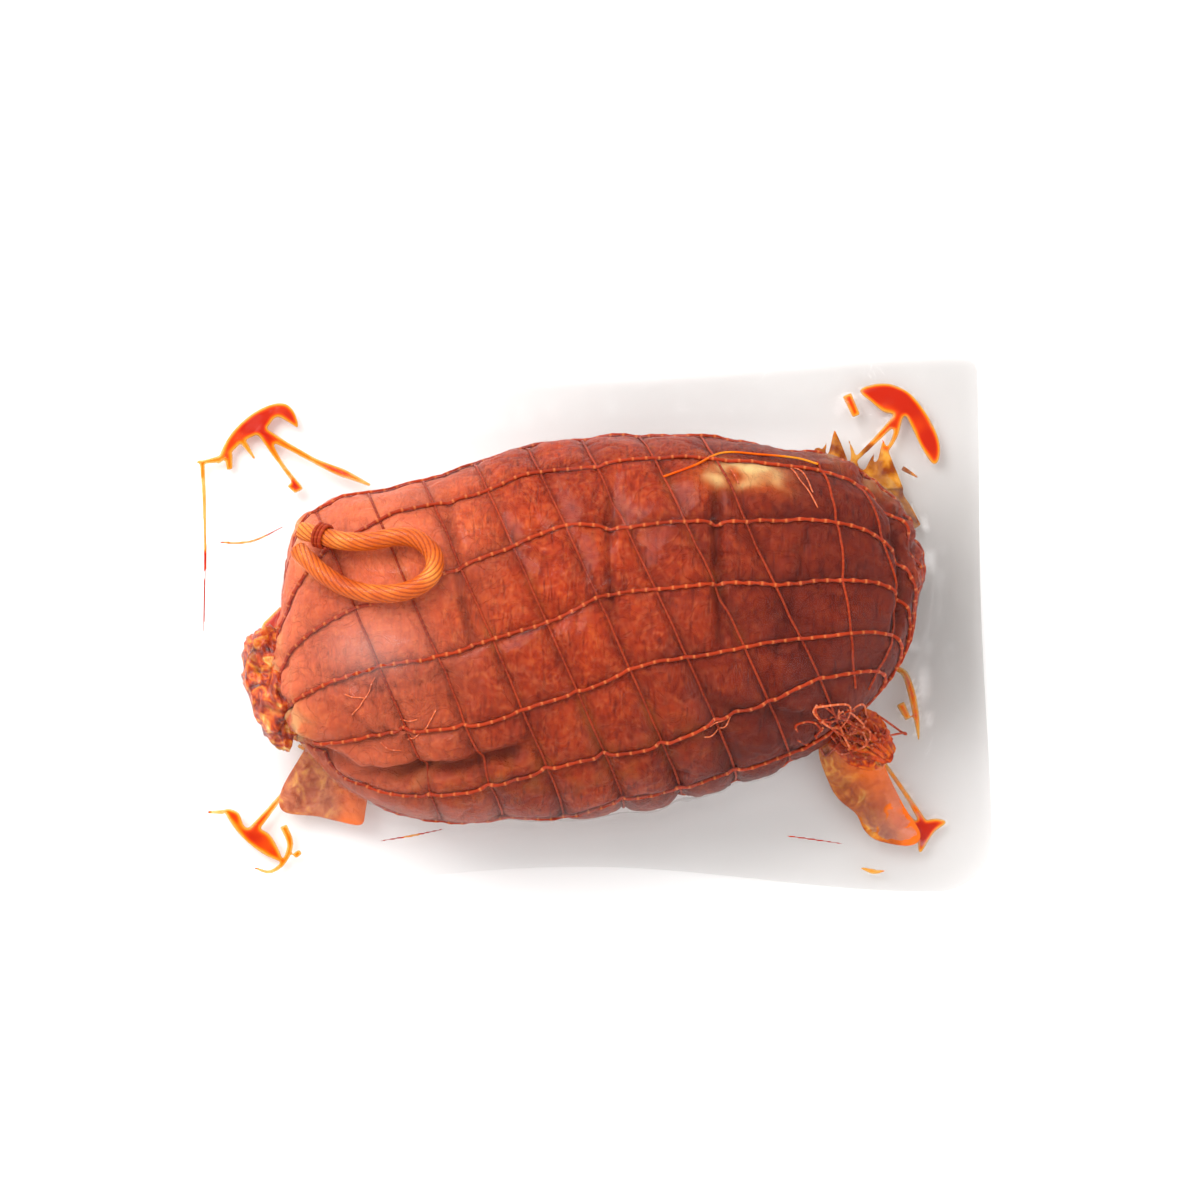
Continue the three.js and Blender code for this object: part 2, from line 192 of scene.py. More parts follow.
def sweepSection(path, section, closed=False):
    # section(distance along, angles) gives radii; the frame is carried along without turning
    n = len(path)
    ahead = np.roll(path, -1, axis=0) - np.roll(path, 1, axis=0)
    if not closed:
        ahead[0] = path[1] - path[0]
        ahead[-1] = path[-1] - path[-2]
    ahead /= np.linalg.norm(ahead, axis=1)[:, None]
    sides = []
    side = np.cross(ahead[0], [0.31, 0.17, 0.93])
    for t in ahead:
        side = side - t * side.dot(t)
        side = side / np.linalg.norm(side)
        sides.append(side)
    sides = np.array(sides)
    ups = np.cross(ahead, sides)
    steps = np.linalg.norm(np.diff(path, axis=0), axis=1)
    along = np.concatenate([[0], np.cumsum(steps)])
    total = along[-1] + (np.linalg.norm(path[0] - path[-1]) if closed else 0)
    gap = 0.0
    if closed:
        # spread what is left over after one round, so that the section meets itself
        last = sides[-1] - ahead[0] * sides[-1].dot(ahead[0])
        gap = math.atan2(last.dot(ups[0]), last.dot(sides[0]))
    verts = []
    radii = section(along, total)
    count = radii.shape[1]
    angles = np.arange(count) / count * 2 * math.pi
    for i in range(n):
        turn = angles - gap * along[i] / total
        out = np.cos(turn)[:, None] * sides[i] + np.sin(turn)[:, None] * ups[i]
        verts.append(path[i] + out * radii[i][:, None])
    verts = np.vstack(verts)
    faces = []
    for i in range(n if closed else n - 1):
        j = (i + 1) % n
        for k in range(count):
            m = (k + 1) % count
            faces.append((i * count + k, i * count + m, j * count + m, j * count + k))
    if not closed:
        faces.append(tuple(range(count))[::-1])
        faces.append(tuple((n - 1) * count + k for k in range(count)))
    return verts, faces, along


def pliedSection(radius, plies, lay, depth, count, wave=0.0, waveLength=1.0):
    # a section of so many twisted plies, with its radius swelling in waves along the length
    def section(along, total):
        turns = max(1, round(total / lay))
        twist = along / total * turns * 2 * math.pi
        angles = np.arange(count) / count * 2 * math.pi
        lobe = np.abs(np.cos((angles[None, :] - twist[:, None]) * plies / 2)) ** 0.8
        swell = 1 + wave * np.cos(along / waveLength * 2 * math.pi)[:, None]
        return radius * (1 - depth + depth * lobe) * swell
    return section


def sweptPiece(name, path, section, material, closed=False):
    verts, faces, along = sweepSection(path, section, closed)
    piece = meshPiece(name, verts, faces, material)
    setAttribute(piece, "along", np.repeat(along / mm, len(verts) // len(path)))
    return piece


shot = {
    "elevation": 84,       # degrees above the horizon: nearly straight down
    "distance": 2.1,       # metres, a long lens from well above
    "frameWidth": 0.4536,  # what the frame spans at the pack
    "aim": (0.0068, 0.0083, 0.004),
}


def placeCamera():
    camera = bpy.data.cameras.new("camera")
    camera.sensor_width = 36
    camera.lens = 36 * shot["distance"] / shot["frameWidth"]
    camera.clip_start = 0.05
    holder = bpy.data.objects.new("camera", camera)
    bpy.context.collection.objects.link(holder)
    tilt = math.radians(shot["elevation"])
    back = Vector((0, -math.cos(tilt), math.sin(tilt)))
    holder.location = Vector(shot["aim"]) + back * shot["distance"]
    holder.rotation_euler = (-back).to_track_quat("-Z", "Y").to_euler()
    bpy.context.scene.camera = holder


placeCamera()
print("camera placed")

# the sausage's plain form, in millimetres, as the CAD model has it
body = {
    "middle": 40,          # height of the widest line
    "top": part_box("sausage")[1][2] / mm,
    "floor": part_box("sausage")[0][2] / mm,
}


def readOutline():
    # the widest line of the CAD solid: reach against direction
    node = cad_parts["sausage"]
    co = np.unique(np.round(vertexArray(node) / mm, 3), axis=0)
    rim = co[np.abs(co[:, 2] - body["middle"]) < 0.05]
    angle = np.arctan2(rim[:, 1], rim[:, 0])
    order = np.argsort(angle)
    return angle[order], np.hypot(rim[:, 0], rim[:, 1])[order]


rimAngle, rimReach = readOutline()


def bodyReach(angle):
    return np.interp(np.mod(angle + math.pi, 2 * math.pi) - math.pi, rimAngle, rimReach, period=2 * math.pi)


def bluntness(angle):
    return 2.35 + 0.9 * np.cos(angle) ** 4


def bodyPoint(angle, latitude, outside):
    power = 2 / bluntness(angle)
    reach = (bodyReach(angle) + outside) * np.cos(latitude) ** power
    rise = np.abs(np.sin(latitude)) ** power
    above = body["middle"] + (body["top"] - body["middle"] + outside) * rise
    below = np.maximum(body["middle"] - (body["middle"] + outside) * rise, body["floor"] - outside)
    z = np.where(latitude > 0, above, below)
    return np.stack([reach * np.cos(angle), reach * np.sin(angle), z], axis=-1)


def bodyLevel(p, outside):
    angle = np.arctan2(p[:, 1], p[:, 0])
    power = bluntness(angle)
    high = np.where(p[:, 2] > body["middle"], body["top"] - body["middle"], body["middle"])
    across = np.hypot(p[:, 0], p[:, 1]) / (bodyReach(angle) + outside)
    up = np.abs(p[:, 2] - body["middle"]) / (high + outside)
    return np.maximum(across ** power + up ** power - 1, (body["floor"] - outside - p[:, 2]) / 80)


def surfaceFrom(inside, ways, outside=0.0):
    # where lines from points inside leave the form
    ways = np.asarray(ways, dtype=float)
    inside = np.broadcast_to(np.asarray(inside, dtype=float), ways.shape)
    near = np.zeros(len(ways))
    far = np.full(len(ways), 300.0)
    for _ in range(28):
        middle = (near + far) / 2
        within = bodyLevel(inside + ways * middle[:, None], outside) < 0
        near = np.where(within, middle, near)
        far = np.where(within, far, middle)
    return inside + ways * near[:, None]


net = {
    "firstHoop": -84,
    "hoopPitch": 22.6,
    "hoops": 8,
    "strands": 13,
    "hoopRadius": 0.5,
    "strandRadius": 0.75,
    "stitch": 4.9,        # millimetres from one knitted stitch to the next
}
# the points inside the sausage that the drawn-in ends of the net are aimed from
knotCore = np.array([-59.5, -28.1, 36.0])
gatherCore = np.array([61.9, -16, 36.0])
gatherWay = np.array([0.8, -0.57, -0.1]) / np.linalg.norm([0.8, -0.57, -0.1])


def ringWays(x, count):
    lean = math.radians(23.5 + x / 50)
    turn = np.arange(count) / count * 2 * math.pi
    across = np.array([-math.sin(lean), math.cos(lean), 0])
    return np.sin(turn)[:, None] * across + np.cos(turn)[:, None] * np.array([0, 0, 1.0])


def hoopRoute(x):
    return surfaceFrom([x, 0, body["middle"]], ringWays(x, 240))


hoopPlaces = [net["firstHoop"] + i * net["hoopPitch"] for i in range(net["hoops"])]
ringPlaces = np.linspace(hoopPlaces[0], hoopPlaces[-1], 36)
ringTable = [hoopRoute(x) for x in ringPlaces]


def pointRound(index, share):
    ring = np.vstack([ringTable[index], ringTable[index][:1]])
    length = np.concatenate([[0], np.cumsum(np.linalg.norm(np.diff(ring, axis=0), axis=1))])
    at = (share % 1) * length[-1]
    return np.array([np.interp(at, length, ring[:, k]) for k in range(3)])


def creep(x, share):
    hoops = (x - hoopPlaces[4]) / net["hoopPitch"]
    if hoops < 0:
        return hoops * 0.021
    low = float(smoothStep(-share, 0.02, 0.2)) * (share < 0.0)
    return hoops * (0.008 + 0.012 * low)


def ringEnd(core, way, away, across, high, share):
    side = np.array([-way[1], way[0], 0])
    side = side / np.linalg.norm(side) * (1 if side[1] > 0 else -1)
    up = np.cross(way, side)
    up = up * (1 if up[2] > 0 else -1)
    turn = share * 2 * math.pi
    target = way * away + side * across * math.sin(turn) + up * high * math.cos(turn)
    return surfaceFrom(core, [target / np.linalg.norm(target)])[0]


def strandRoute(index):
    share = index / net["strands"]
    signed = share - 1 if share > 0.5 else share
    middle = []
    for i, x in enumerate(ringPlaces):
        wander = 0.004 * math.sin(x / 19 + index * 2.1) + 0.0015 * math.sin(x / 7.3 + index)
        middle.append(pointRound(i, share + creep(x, signed) + wander))
    left = ringEnd(knotCore, np.array([-1.0, 0, 0]), 52, 22, 14, share + creep(ringPlaces[0], signed))
    right = ringEnd(gatherCore, gatherWay, 46, 7, 7, share + creep(ringPlaces[-1], signed))
    route = [left]
    for t in (0.2, 0.4, 0.6, 0.8):
        way = left + (middle[0] - left) * t - knotCore
        route.append(surfaceFrom(knotCore, [way / np.linalg.norm(way)])[0])
    route += middle
    sweep = 42 * max(0, math.cos((signed - 0.02) * 2 * math.pi)) ** 0.7
    for t in (0.1, 0.2, 0.3, 0.4, 0.5, 0.6, 0.7, 0.8, 0.9):
        way = middle[-1] + (right - middle[-1]) * t - gatherCore
        way = way + np.array([1.0, 0.35, 0]) * sweep * math.sin(math.pi * t ** 0.8)
        route.append(surfaceFrom(gatherCore, [way / np.linalg.norm(way)])[0])
    route.append(right)
    return np.array(route)


hoopRoutes = [smoothPath(hoopRoute(x)[::4] * mm, 0.9 * mm, closed=True) for x in hoopPlaces]
strandRoutes = [smoothPath(strandRoute(i) * mm, 0.6 * mm) for i in range(net["strands"])]
print("net routes laid out")


def makeCasing():
    # natural casing dried tight on paprika-red meat: brick red, mottled and finely veined, with a
    # satin skin; painted shade darkens it in the thread grooves and folds, towards the right and the lower
    # side, and painted light pales it towards the tied end. Mottling about 18 mm across, grain 2.4 mm,
    # dried fibres 1 by 7 mm, veins and fine wrinkles every 12 mm or so
    material, tree, output = newMaterial("natural casing, cured brick red")
    where = addNode(tree, "ShaderNodeTexCoord").outputs["Object"]
    mottle = addNode(tree, "ShaderNodeTexNoise", Vector=where, Scale=55, Detail=5, Roughness=0.62,
                     Distortion=0.6).outputs["Fac"]
    grain = addNode(tree, "ShaderNodeTexNoise", Vector=where, Scale=420, Detail=4,
                    Roughness=0.7).outputs["Fac"]
    red = addRamp(tree, mottle, [(0.28, "#741C08"), (0.42, "#98290D"), (0.58, "#B23610"), (0.76, "#CA5218")])
    speck = addRamp(tree, grain, [(0.35, "#701A08"), (0.5, "#A23210"), (0.68, "#D0622A")])
    skin = addNode(tree, "ShaderNodeMix", {"data_type": "RGBA"}, in0=0.5, in6=red, in7=speck).outputs[2]
    stretched = addNode(tree, "ShaderNodeMapping", Vector=where, Scale=(900, 150, 150), Rotation=(0, 0, 0.4))
    fibre = addNode(tree, "ShaderNodeTexNoise", Vector=stretched.outputs[0], Scale=1, Detail=4,
                    Roughness=0.6, Distortion=0.8).outputs["Fac"]
    streak = addRamp(tree, fibre, [(0.34, 0.85), (0.43, 0.35), (0.5, 0.05), (0.6, 0.0)])
    skin = addNode(tree, "ShaderNodeMix", {"data_type": "RGBA"}, in0=streak, in6=skin,
                   in7=toLinear("#6E1B0A")).outputs[2]
    veins = addNode(tree, "ShaderNodeTexVoronoi", {"feature": "DISTANCE_TO_EDGE"},
                    Scale=75).outputs["Distance"]
    warp = addNode(tree, "ShaderNodeTexNoise", Vector=where, Scale=90, Detail=3)
    bent = addNode(tree, "ShaderNodeMix", {"data_type": "VECTOR"}, in0=0.035, in4=where,
                   in5=warp.outputs["Color"]).outputs[1]
    tree.links.new(bent, veins.node.inputs["Vector"])
    veinLine = addRamp(tree, veins, [(0.0, 1.0), (0.035, 0.25), (0.09, 0.0)])
    veined = addNode(tree, "ShaderNodeMix", {"data_type": "RGBA"},
                     in0=addNode(tree, "ShaderNodeMath", {"operation": "MULTIPLY"}, in0=veinLine, in1=0.22)
                     .outputs[0], in6=skin, in7=toLinear("#D8764A")).outputs[2]
    # painted shade: darker in the thread grooves, creases, pleats and folds
    sunk = addNode(tree, "ShaderNodeAttribute", {"attribute_name": "sunk"}).outputs["Fac"]
    darkened = addNode(tree, "ShaderNodeMix", {"data_type": "RGBA"}, in0=sunk, in6=veined,
                       in7=toLinear("#5E1608")).outputs[2]
    fat = addNode(tree, "ShaderNodeAttribute", {"attribute_name": "fat"}).outputs["Fac"]
    fatty = addNode(tree, "ShaderNodeMix", {"data_type": "RGBA"}, in0=fat, in6=darkened,
                    in7=addRamp(tree, fat, [(0.3, "#BE6420"), (0.8, "#D8B070")])).outputs[2]
    # painted shade multiplied in towards the right, the lower side and beside the threads, over a random
    # darker tone
    deep = addNode(tree, "ShaderNodeAttribute", {"attribute_name": "deep"}).outputs["Fac"]
    final = addNode(tree, "ShaderNodeMix", {"data_type": "RGBA", "blend_type": "MULTIPLY"}, in0=deep,
                    in6=fatty, in7=toLinear("#9085B4")).outputs[2]
    # painted light: screened paler towards the tied end, on the lit side
    pale = addNode(tree, "ShaderNodeAttribute", {"attribute_name": "pale"}).outputs["Fac"]
    final = addNode(tree, "ShaderNodeMix", {"data_type": "RGBA", "blend_type": "SCREEN"}, in0=pale,
                    in6=final, in7=toLinear("#F07A56")).outputs[2]
    heights = addNode(tree, "ShaderNodeMix", {"data_type": "FLOAT"}, in0=0.5, in2=grain,
                      in3=fibre).outputs[0]
    crinkle = addNode(tree, "ShaderNodeTexNoise", Vector=where, Scale=85, Detail=5, Roughness=0.55,
                      Distortion=1.6).outputs["Fac"]
    wrinkle = addRamp(tree, crinkle, [(0.44, 0.0), (0.495, 1.0), (0.55, 0.0)])
    heights = addNode(tree, "ShaderNodeMix", {"data_type": "FLOAT"}, in0=0.3, in2=heights,
                      in3=wrinkle).outputs[0]
    bump = addNode(tree, "ShaderNodeBump", Strength=0.9, Distance=0.001, Height=heights).outputs["Normal"]
    shader = addNode(tree, "ShaderNodeBsdfPrincipled", Base_Color=final, Roughness=0.4, Normal=bump,
                     Specular_IOR_Level=0.07)
    tree.links.new(shader.outputs[0], output.inputs["Surface"])
    return material


def makeThread(name, hexBase, hexStitchHighlight, hexDeep, stitch):
    # knitted elastic: cotton wound on rubber, soaked orange, with a painted highlight as a paler dot where
    # each stitch bulges; stained in patches of 17 mm, with fibres of 0.4 mm
    material, tree, output = newMaterial(name)
    along = addNode(tree, "ShaderNodeAttribute", {"attribute_name": "along"}).outputs["Fac"]
    where = addNode(tree, "ShaderNodeTexCoord").outputs["Object"]
    phase = addNode(tree, "ShaderNodeMath", {"operation": "MULTIPLY"}, in0=along,
                    in1=2 * math.pi / stitch).outputs[0]
    wave = addNode(tree, "ShaderNodeMath", {"operation": "COSINE"}, in0=phase).outputs[0]
    patch = addNode(tree, "ShaderNodeTexNoise", Vector=where, Scale=60, Detail=2).outputs["Fac"]
    base = addRamp(tree, patch, [(0.35, hexDeep), (0.6, hexBase)])
    # painted highlight on each stitch bulge
    dot = addRamp(tree, wave, [(0.75, 0.0), (0.99, 0.55)])
    colour = addNode(tree, "ShaderNodeMix", {"data_type": "RGBA"}, in0=dot, in6=base,
                     in7=toLinear(hexStitchHighlight)).outputs[2]
    fibre = addNode(tree, "ShaderNodeTexNoise", Vector=where, Scale=2600, Detail=2).outputs["Fac"]
    bump = addNode(tree, "ShaderNodeBump", Strength=0.4, Distance=0.0002, Height=fibre).outputs["Normal"]
    shader = addNode(tree, "ShaderNodeBsdfPrincipled", Base_Color=colour, Roughness=0.55, Normal=bump,
                     Specular_IOR_Level=0.14)
    tree.links.new(shader.outputs[0], output.inputs["Surface"])
    return material


def makeTwine():
    # twisted cotton twine, soaked with paprika fat and stained orange in patches; painted shade makes it
    # darker in the lay and paler on the crowns. Its fibres are drawn 0.7 mm thick, coarser than they are, so
    # that they show
    material, tree, output = newMaterial("twisted cotton twine, stained orange")
    where = addNode(tree, "ShaderNodeTexCoord").outputs["Object"]
    crown = addNode(tree, "ShaderNodeAttribute", {"attribute_name": "crown"}).outputs["Fac"]
    patch = addNode(tree, "ShaderNodeTexNoise", Vector=where, Scale=70, Detail=4).outputs["Fac"]
    fibre = addNode(tree, "ShaderNodeTexNoise", Vector=where, Scale=1500, Detail=3).outputs["Fac"]
    stain = addRamp(tree, patch, [(0.3, "#B2440C"), (0.5, "#D26016"), (0.7, "#E88A38")])
    # painted shade: the lay between the plies is darkened, the crowns keep the stain colour
    lay = addNode(tree, "ShaderNodeMix", {"data_type": "RGBA"}, in0=crown, in6=toLinear("#8E2E08"),
                  in7=stain).outputs[2]
    fine = addNode(tree, "ShaderNodeMix", {"data_type": "RGBA", "blend_type": "OVERLAY"}, in0=0.35, in6=lay,
                   in7=addRamp(tree, fibre, [(0.3, 0.25), (0.7, 0.8)])).outputs[2]
    bump = addNode(tree, "ShaderNodeBump", Strength=0.6, Distance=0.0004, Height=fibre).outputs["Normal"]
    shader = addNode(tree, "ShaderNodeBsdfPrincipled", Base_Color=fine, Roughness=0.55, Normal=bump,
                     Specular_IOR_Level=0.15)
    tree.links.new(shader.outputs[0], output.inputs["Surface"])
    return material


def makeFat():
    # melted paprika fat caught under the film: clear yellow where thin, saturated orange where thick,
    # clouded every 6 mm, and brown where it has soaked folds of casing
    material, tree, output = newMaterial("melted paprika fat")
    where = addNode(tree, "ShaderNodeTexCoord").outputs["Object"]
    depth = addNode(tree, "ShaderNodeAttribute", {"attribute_name": "depth"}).outputs["Fac"]
    cloud = addNode(tree, "ShaderNodeTexNoise", Vector=where, Scale=160, Detail=3).outputs["Fac"]
    mixed = addNode(tree, "ShaderNodeMath", {"operation": "MULTIPLY_ADD"}, in0=cloud, in1=0.3,
                    in2=depth).outputs[0]
    colour = addRamp(tree, mixed, [(0.12, "#F5B63E"), (0.3, "#EC7E0A"), (0.55, "#D83E00"), (0.9, "#B41C00")])
    brown = addNode(tree, "ShaderNodeAttribute", {"attribute_name": "brown"}).outputs["Fac"]
    soaked = addRamp(tree, cloud, [(0.38, "#7A3A0C"), (0.5, "#C07A1C"), (0.62, "#E0A440")])
    colour = addNode(tree, "ShaderNodeMix", {"data_type": "RGBA"}, in0=brown, in6=colour,
                     in7=soaked).outputs[2]
    shader = addNode(tree, "ShaderNodeBsdfPrincipled", Base_Color=colour, Roughness=0.25,
                     Specular_IOR_Level=0.08)
    clear = addNode(tree, "ShaderNodeBsdfTransparent", Color=toLinear("#FFF3D8"))
    cover = addRamp(tree, mixed, [(0.05, 0.1), (0.28, 0.9), (0.45, 1.0)])
    seen = addNode(tree, "ShaderNodeMixShader", Fac=cover, in1=clear.outputs[0], in2=shader.outputs[0])
    tree.links.new(seen.outputs[0], output.inputs["Surface"])
    return material


def makeCrumpled(name, tones, fold, gloss):
    # gathered casing and net, crumpled under the film: painted shade darkens the folds, amber where fat has
    # soaked it; patches of 6 mm and creases of 3 mm
    material, tree, output = newMaterial(name)
    where = addNode(tree, "ShaderNodeTexCoord").outputs["Object"]
    patch = addNode(tree, "ShaderNodeTexNoise", Vector=where, Scale=170, Detail=5, Roughness=0.6,
                    Distortion=1.4).outputs["Fac"]
    tone = addRamp(tree, patch, [(0.28 + 0.11 * i, tone) for i, tone in enumerate(tones)])
    # painted shade in the folds, in the colour given as fold
    sunk = addNode(tree, "ShaderNodeAttribute", {"attribute_name": "sunk"}).outputs["Fac"]
    dark = addNode(tree, "ShaderNodeMix", {"data_type": "RGBA"}, in0=sunk, in6=tone,
                   in7=toLinear(fold)).outputs[2]
    soaked = addNode(tree, "ShaderNodeAttribute", {"attribute_name": "soaked"}).outputs["Fac"]
    colour = addNode(tree, "ShaderNodeMix", {"data_type": "RGBA"}, in0=soaked, in6=dark,
                     in7=toLinear("#EC6A10")).outputs[2]
    fine = addNode(tree, "ShaderNodeTexNoise", Vector=where, Scale=300, Detail=4,
                   Distortion=1.0).outputs["Fac"]
    bump = addNode(tree, "ShaderNodeBump", Strength=0.8, Distance=0.0012, Height=fine).outputs["Normal"]
    shader = addNode(tree, "ShaderNodeBsdfPrincipled", Base_Color=colour, Roughness=0.24, Normal=bump,
                     Specular_IOR_Level=gloss)
    tree.links.new(shader.outputs[0], output.inputs["Surface"])
    return material


def makeFilm():
    # clear polyamide film, drawn tight: see-through and glossy, with creases about 9 mm apart. It is a
    # little milky towards the pack's right side; that haze and the grey of its flange are painted shade,
    # and a milky patch on the left bulge is a painted highlight
    material, tree, output = newMaterial("clear vacuum film")
    where = addNode(tree, "ShaderNodeTexCoord").outputs["Object"]
    crease = addNode(tree, "ShaderNodeTexNoise", Vector=where, Scale=110, Detail=4, Roughness=0.55,
                     Distortion=1.2).outputs["Fac"]
    ridge = addRamp(tree, crease, [(0.44, 0.0), (0.5, 1.0), (0.56, 0.0)])
    bump = addNode(tree, "ShaderNodeBump", Strength=0.12, Distance=0.0005, Height=ridge).outputs["Normal"]
    facing = addNode(tree, "ShaderNodeLayerWeight", Blend=0.28, Normal=bump).outputs["Facing"]
    mirror = addRamp(tree, facing, [(0.0, 0.02), (0.5, 0.06), (1.0, 0.55)])
    loose = addNode(tree, "ShaderNodeAttribute", {"attribute_name": "loose"}).outputs["Fac"]
    gloss = addNode(tree, "ShaderNodeMath", {"operation": "MULTIPLY"}, in0=mirror, in1=loose).outputs[0]
    # painted shade: the see-through colour greys where this mask is set
    paintedShadeTint = addNode(tree, "ShaderNodeAttribute", {"attribute_name": "paintedShadeTint"}).outputs["Fac"]
    clear = addNode(tree, "ShaderNodeBsdfTransparent",
                    Color=addRamp(tree, paintedShadeTint, [(0.0, "#FFFFFF"), (1.0, "#B3AFAC")]))
    shine = addNode(tree, "ShaderNodeBsdfAnisotropic", Color=toLinear("#FFFFFF"), Roughness=0.12,
                    Normal=bump)
    film = addNode(tree, "ShaderNodeMixShader", Fac=gloss, in1=clear.outputs[0], in2=shine.outputs[0])
    # milky haze: painted shade on the flange, painted reflection along the lower side, painted highlight on
    # the left bulge
    milk = addNode(tree, "ShaderNodeAttribute", {"attribute_name": "milk"}).outputs["Fac"]
    haze = addNode(tree, "ShaderNodeBsdfDiffuse", Color=toLinear("#B9B2AE"))
    hazy = addNode(tree, "ShaderNodeMixShader", Fac=milk, in1=film.outputs[0], in2=haze.outputs[0])
    tree.links.new(hazy.outputs[0], output.inputs["Surface"])
    return material


casingFinish = makeCasing()
strandFinish = makeThread("knitted elastic strand, orange", "#A63210", "#DC7E44", "#8C260A", net["stitch"])
hoopFinish = makeThread("elastic thread, red orange", "#9C3012", "#BC5220", "#80220C", 2.4)
# the cut ends are real thread, coloured pale pink to show the thin glints on them: partly painted highlight
cutFinish = makeThread("cut elastic end, pale", "#D8683C", "#F0A080", "#B84C28", 3)
twineFinish = makeTwine()
fatFinish = makeFat()
crumpledFinish = makeCrumpled("gathered casing soaked in fat",
                              ["#4E1206", "#8E220A", "#C8480E", "#E08A2C", "#EEC878"], "#560E04", 0.35)
bunchFinish = makeCrumpled("drawn-in net, orange red",
                           ["#6A1604", "#A02A08", "#C2440C", "#D8701C", "#E89C3C"], "#5E1204", 0.12)
tailFinish = makeCrumpled("flattened casing tail, pinkish brown",
                          ["#964226", "#B05834", "#C26C44", "#D28648", "#E0A44E"], "#9A3412", 0.15)
netTailFinish = makeCrumpled("flattened net tail, amber brown",
                             ["#8A3610", "#AC4C16", "#C4621C", "#D47E2A", "#E0A048"], "#8A2A0A", 0.15)
filmFinish = makeFilm()
print("finishes mixed")

# the loop comes before the other pieces, because its length is checked
loop = {
    "route": [  # x, y, and 1 where the cord lies on its binding
        (-102, 26, 1), (-95.5, 24, 1), (-87, 21.5, 0.4), (-77, 21, 0), (-68, 22.5, 0), (-61, 22, 0),
        (-55.5, 18.5, 0), (-53, 13.5, 0), (-54.5, 8, 0), (-60, 3.8, 0), (-68, 1.7, 0), (-78, 2.1, 0),
        (-87, 5.1, 0), (-94.5, 10.1, 0), (-100, 15.5, 0), (-103.5, 19, 0),
    ],
    "diameter": 6.8,
    "outside": 6.4,      # centre of the cord above the casing
    "onBinding": 1.0,    # how much higher it lies where it is bound
    "lay": 40,
    "plies": 11,
    "plyDepth": 0.11,
    "around": 72,        # points round the section
    "step": 0.8,
}


def heightAt(x, y, outside):
    angle = math.atan2(y, x)
    power = float(bluntness(angle))
    across = min(1.0, math.hypot(x, y) / (float(bodyReach(angle)) + outside))
    return body["middle"] + (body["top"] - body["middle"] + outside) * (1 - across ** power) ** (1 / power)


def makeLoop():
    points = [(x, y, heightAt(x, y, loop["outside"]) + on * loop["onBinding"]) for x, y, on in loop["route"]]
    route = smoothPath(np.array(points) * mm, loop["step"] * mm)
    count = loop["around"]
    radius = loop["diameter"] / 2
    section = pliedSection(radius * mm, loop["plies"], loop["lay"] * mm, loop["plyDepth"], count)
    piece = sweptPiece("hanging_cord", route, section, twineFinish)
    reach = np.linalg.norm(vertexArray(piece).reshape(-1, count, 3) - route[:, None, :], axis=2).ravel()
    # crown is 1 on the outer crowns of the plies and 0 in the lay, where painted shade goes
    setAttribute(piece, "crown", smoothStep(reach / mm, 0.9 * radius, 0.9765 * radius))
    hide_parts("hanging_loop")
    return piece, route


hangingCord, cordRoute = makeLoop()
cordLength = float(np.linalg.norm(np.diff(cordRoute, axis=0), axis=1).sum())
print("hanging loop twisted, length", round(cordLength, 3))

sausage = {
    "voxel": 1.35,
    "bulge": 1.9,        # how far each square of the net bulges
    "groove": 1.3,       # how deep a thread is drawn in
    "lumps": 1.7,
    "crumple": 2.6,      # height of the sharp folds at the ends
    "creases": [  # folds seen from above: points, depth, half width
        ([(-112, -42), (-98, -54), (-82, -63), (-66, -63.5), (-44, -61), (-28, -57), (-14, -51)], 9, 2.6),
        ([(-98, -22), (-88, -30), (-74, -33), (-60, -31), (-42, -25)], 1.6, 1.3),
        ([(-49, 44), (-47, 24), (-44, 2), (-38, -22)], 3.6, 1.7),
        ([(11, 46), (10, 18), (12, -14)], 3.4, 1.6),
        ([(49, 46), (49.5, 14), (51, -22)], 4.6, 1.9),
        ([(84, 30), (78, 5), (70, -24)], 1.2, 1.4),
        ([(98, 53), (108, 45), (115, 33), (118.5, 17), (118, 0), (112.5, -17)], 5, 1.7),
        ([(46, -34), (56, -41), (72, -42), (90, -43)], 3, 2.2),
        ([(-92, -34), (-80, -46), (-70, -57)], 2.4, 1.5),
        ([(-80, -30), (-74, -44), (-66, -56)], 1.6, 1.4),
    ],
    # centre, reach and number of pleats where the casing is drawn in at its two ends
    "pleats": [((-112, -28, 36), 24, 13), ((98, -42, 30), 20, 11)],
    "pleatDepth": 3.0,
    "fan": [(-102, -20), (-88, -30), (-72, -34), (-56, -30)],
    "fanDepth": 1.9,
    "leftEdge": [(-116, -8), (-114, -30), (-104, -46)],
    "rightEdge": [(84, 62), (98, 57), (111, 49), (120, 40), (125, 28), (127, 12)],
    "edgeWidth": 7,
    "fattyPatch": (60, 47, 18, 7),   # x, y and half sizes
    "fattyBand": [(-62, -66), (-30, -66), (10, -61), (50, -50)],
    "fattyFoot": [(-106, 33), (-105, 22), (-100, 12)],
}


def distanceToPath(points, path):
    best = np.full(len(points), 1e9)
    path = np.array(path, dtype=float)
    for a, b in zip(path[:-1], path[1:]):
        along = np.clip(((points - a) @ (b - a)) / ((b - a) @ (b - a)), 0, 1)
        best = np.minimum(best, np.linalg.norm(points - a - along[:, None] * (b - a), axis=1))
    return best


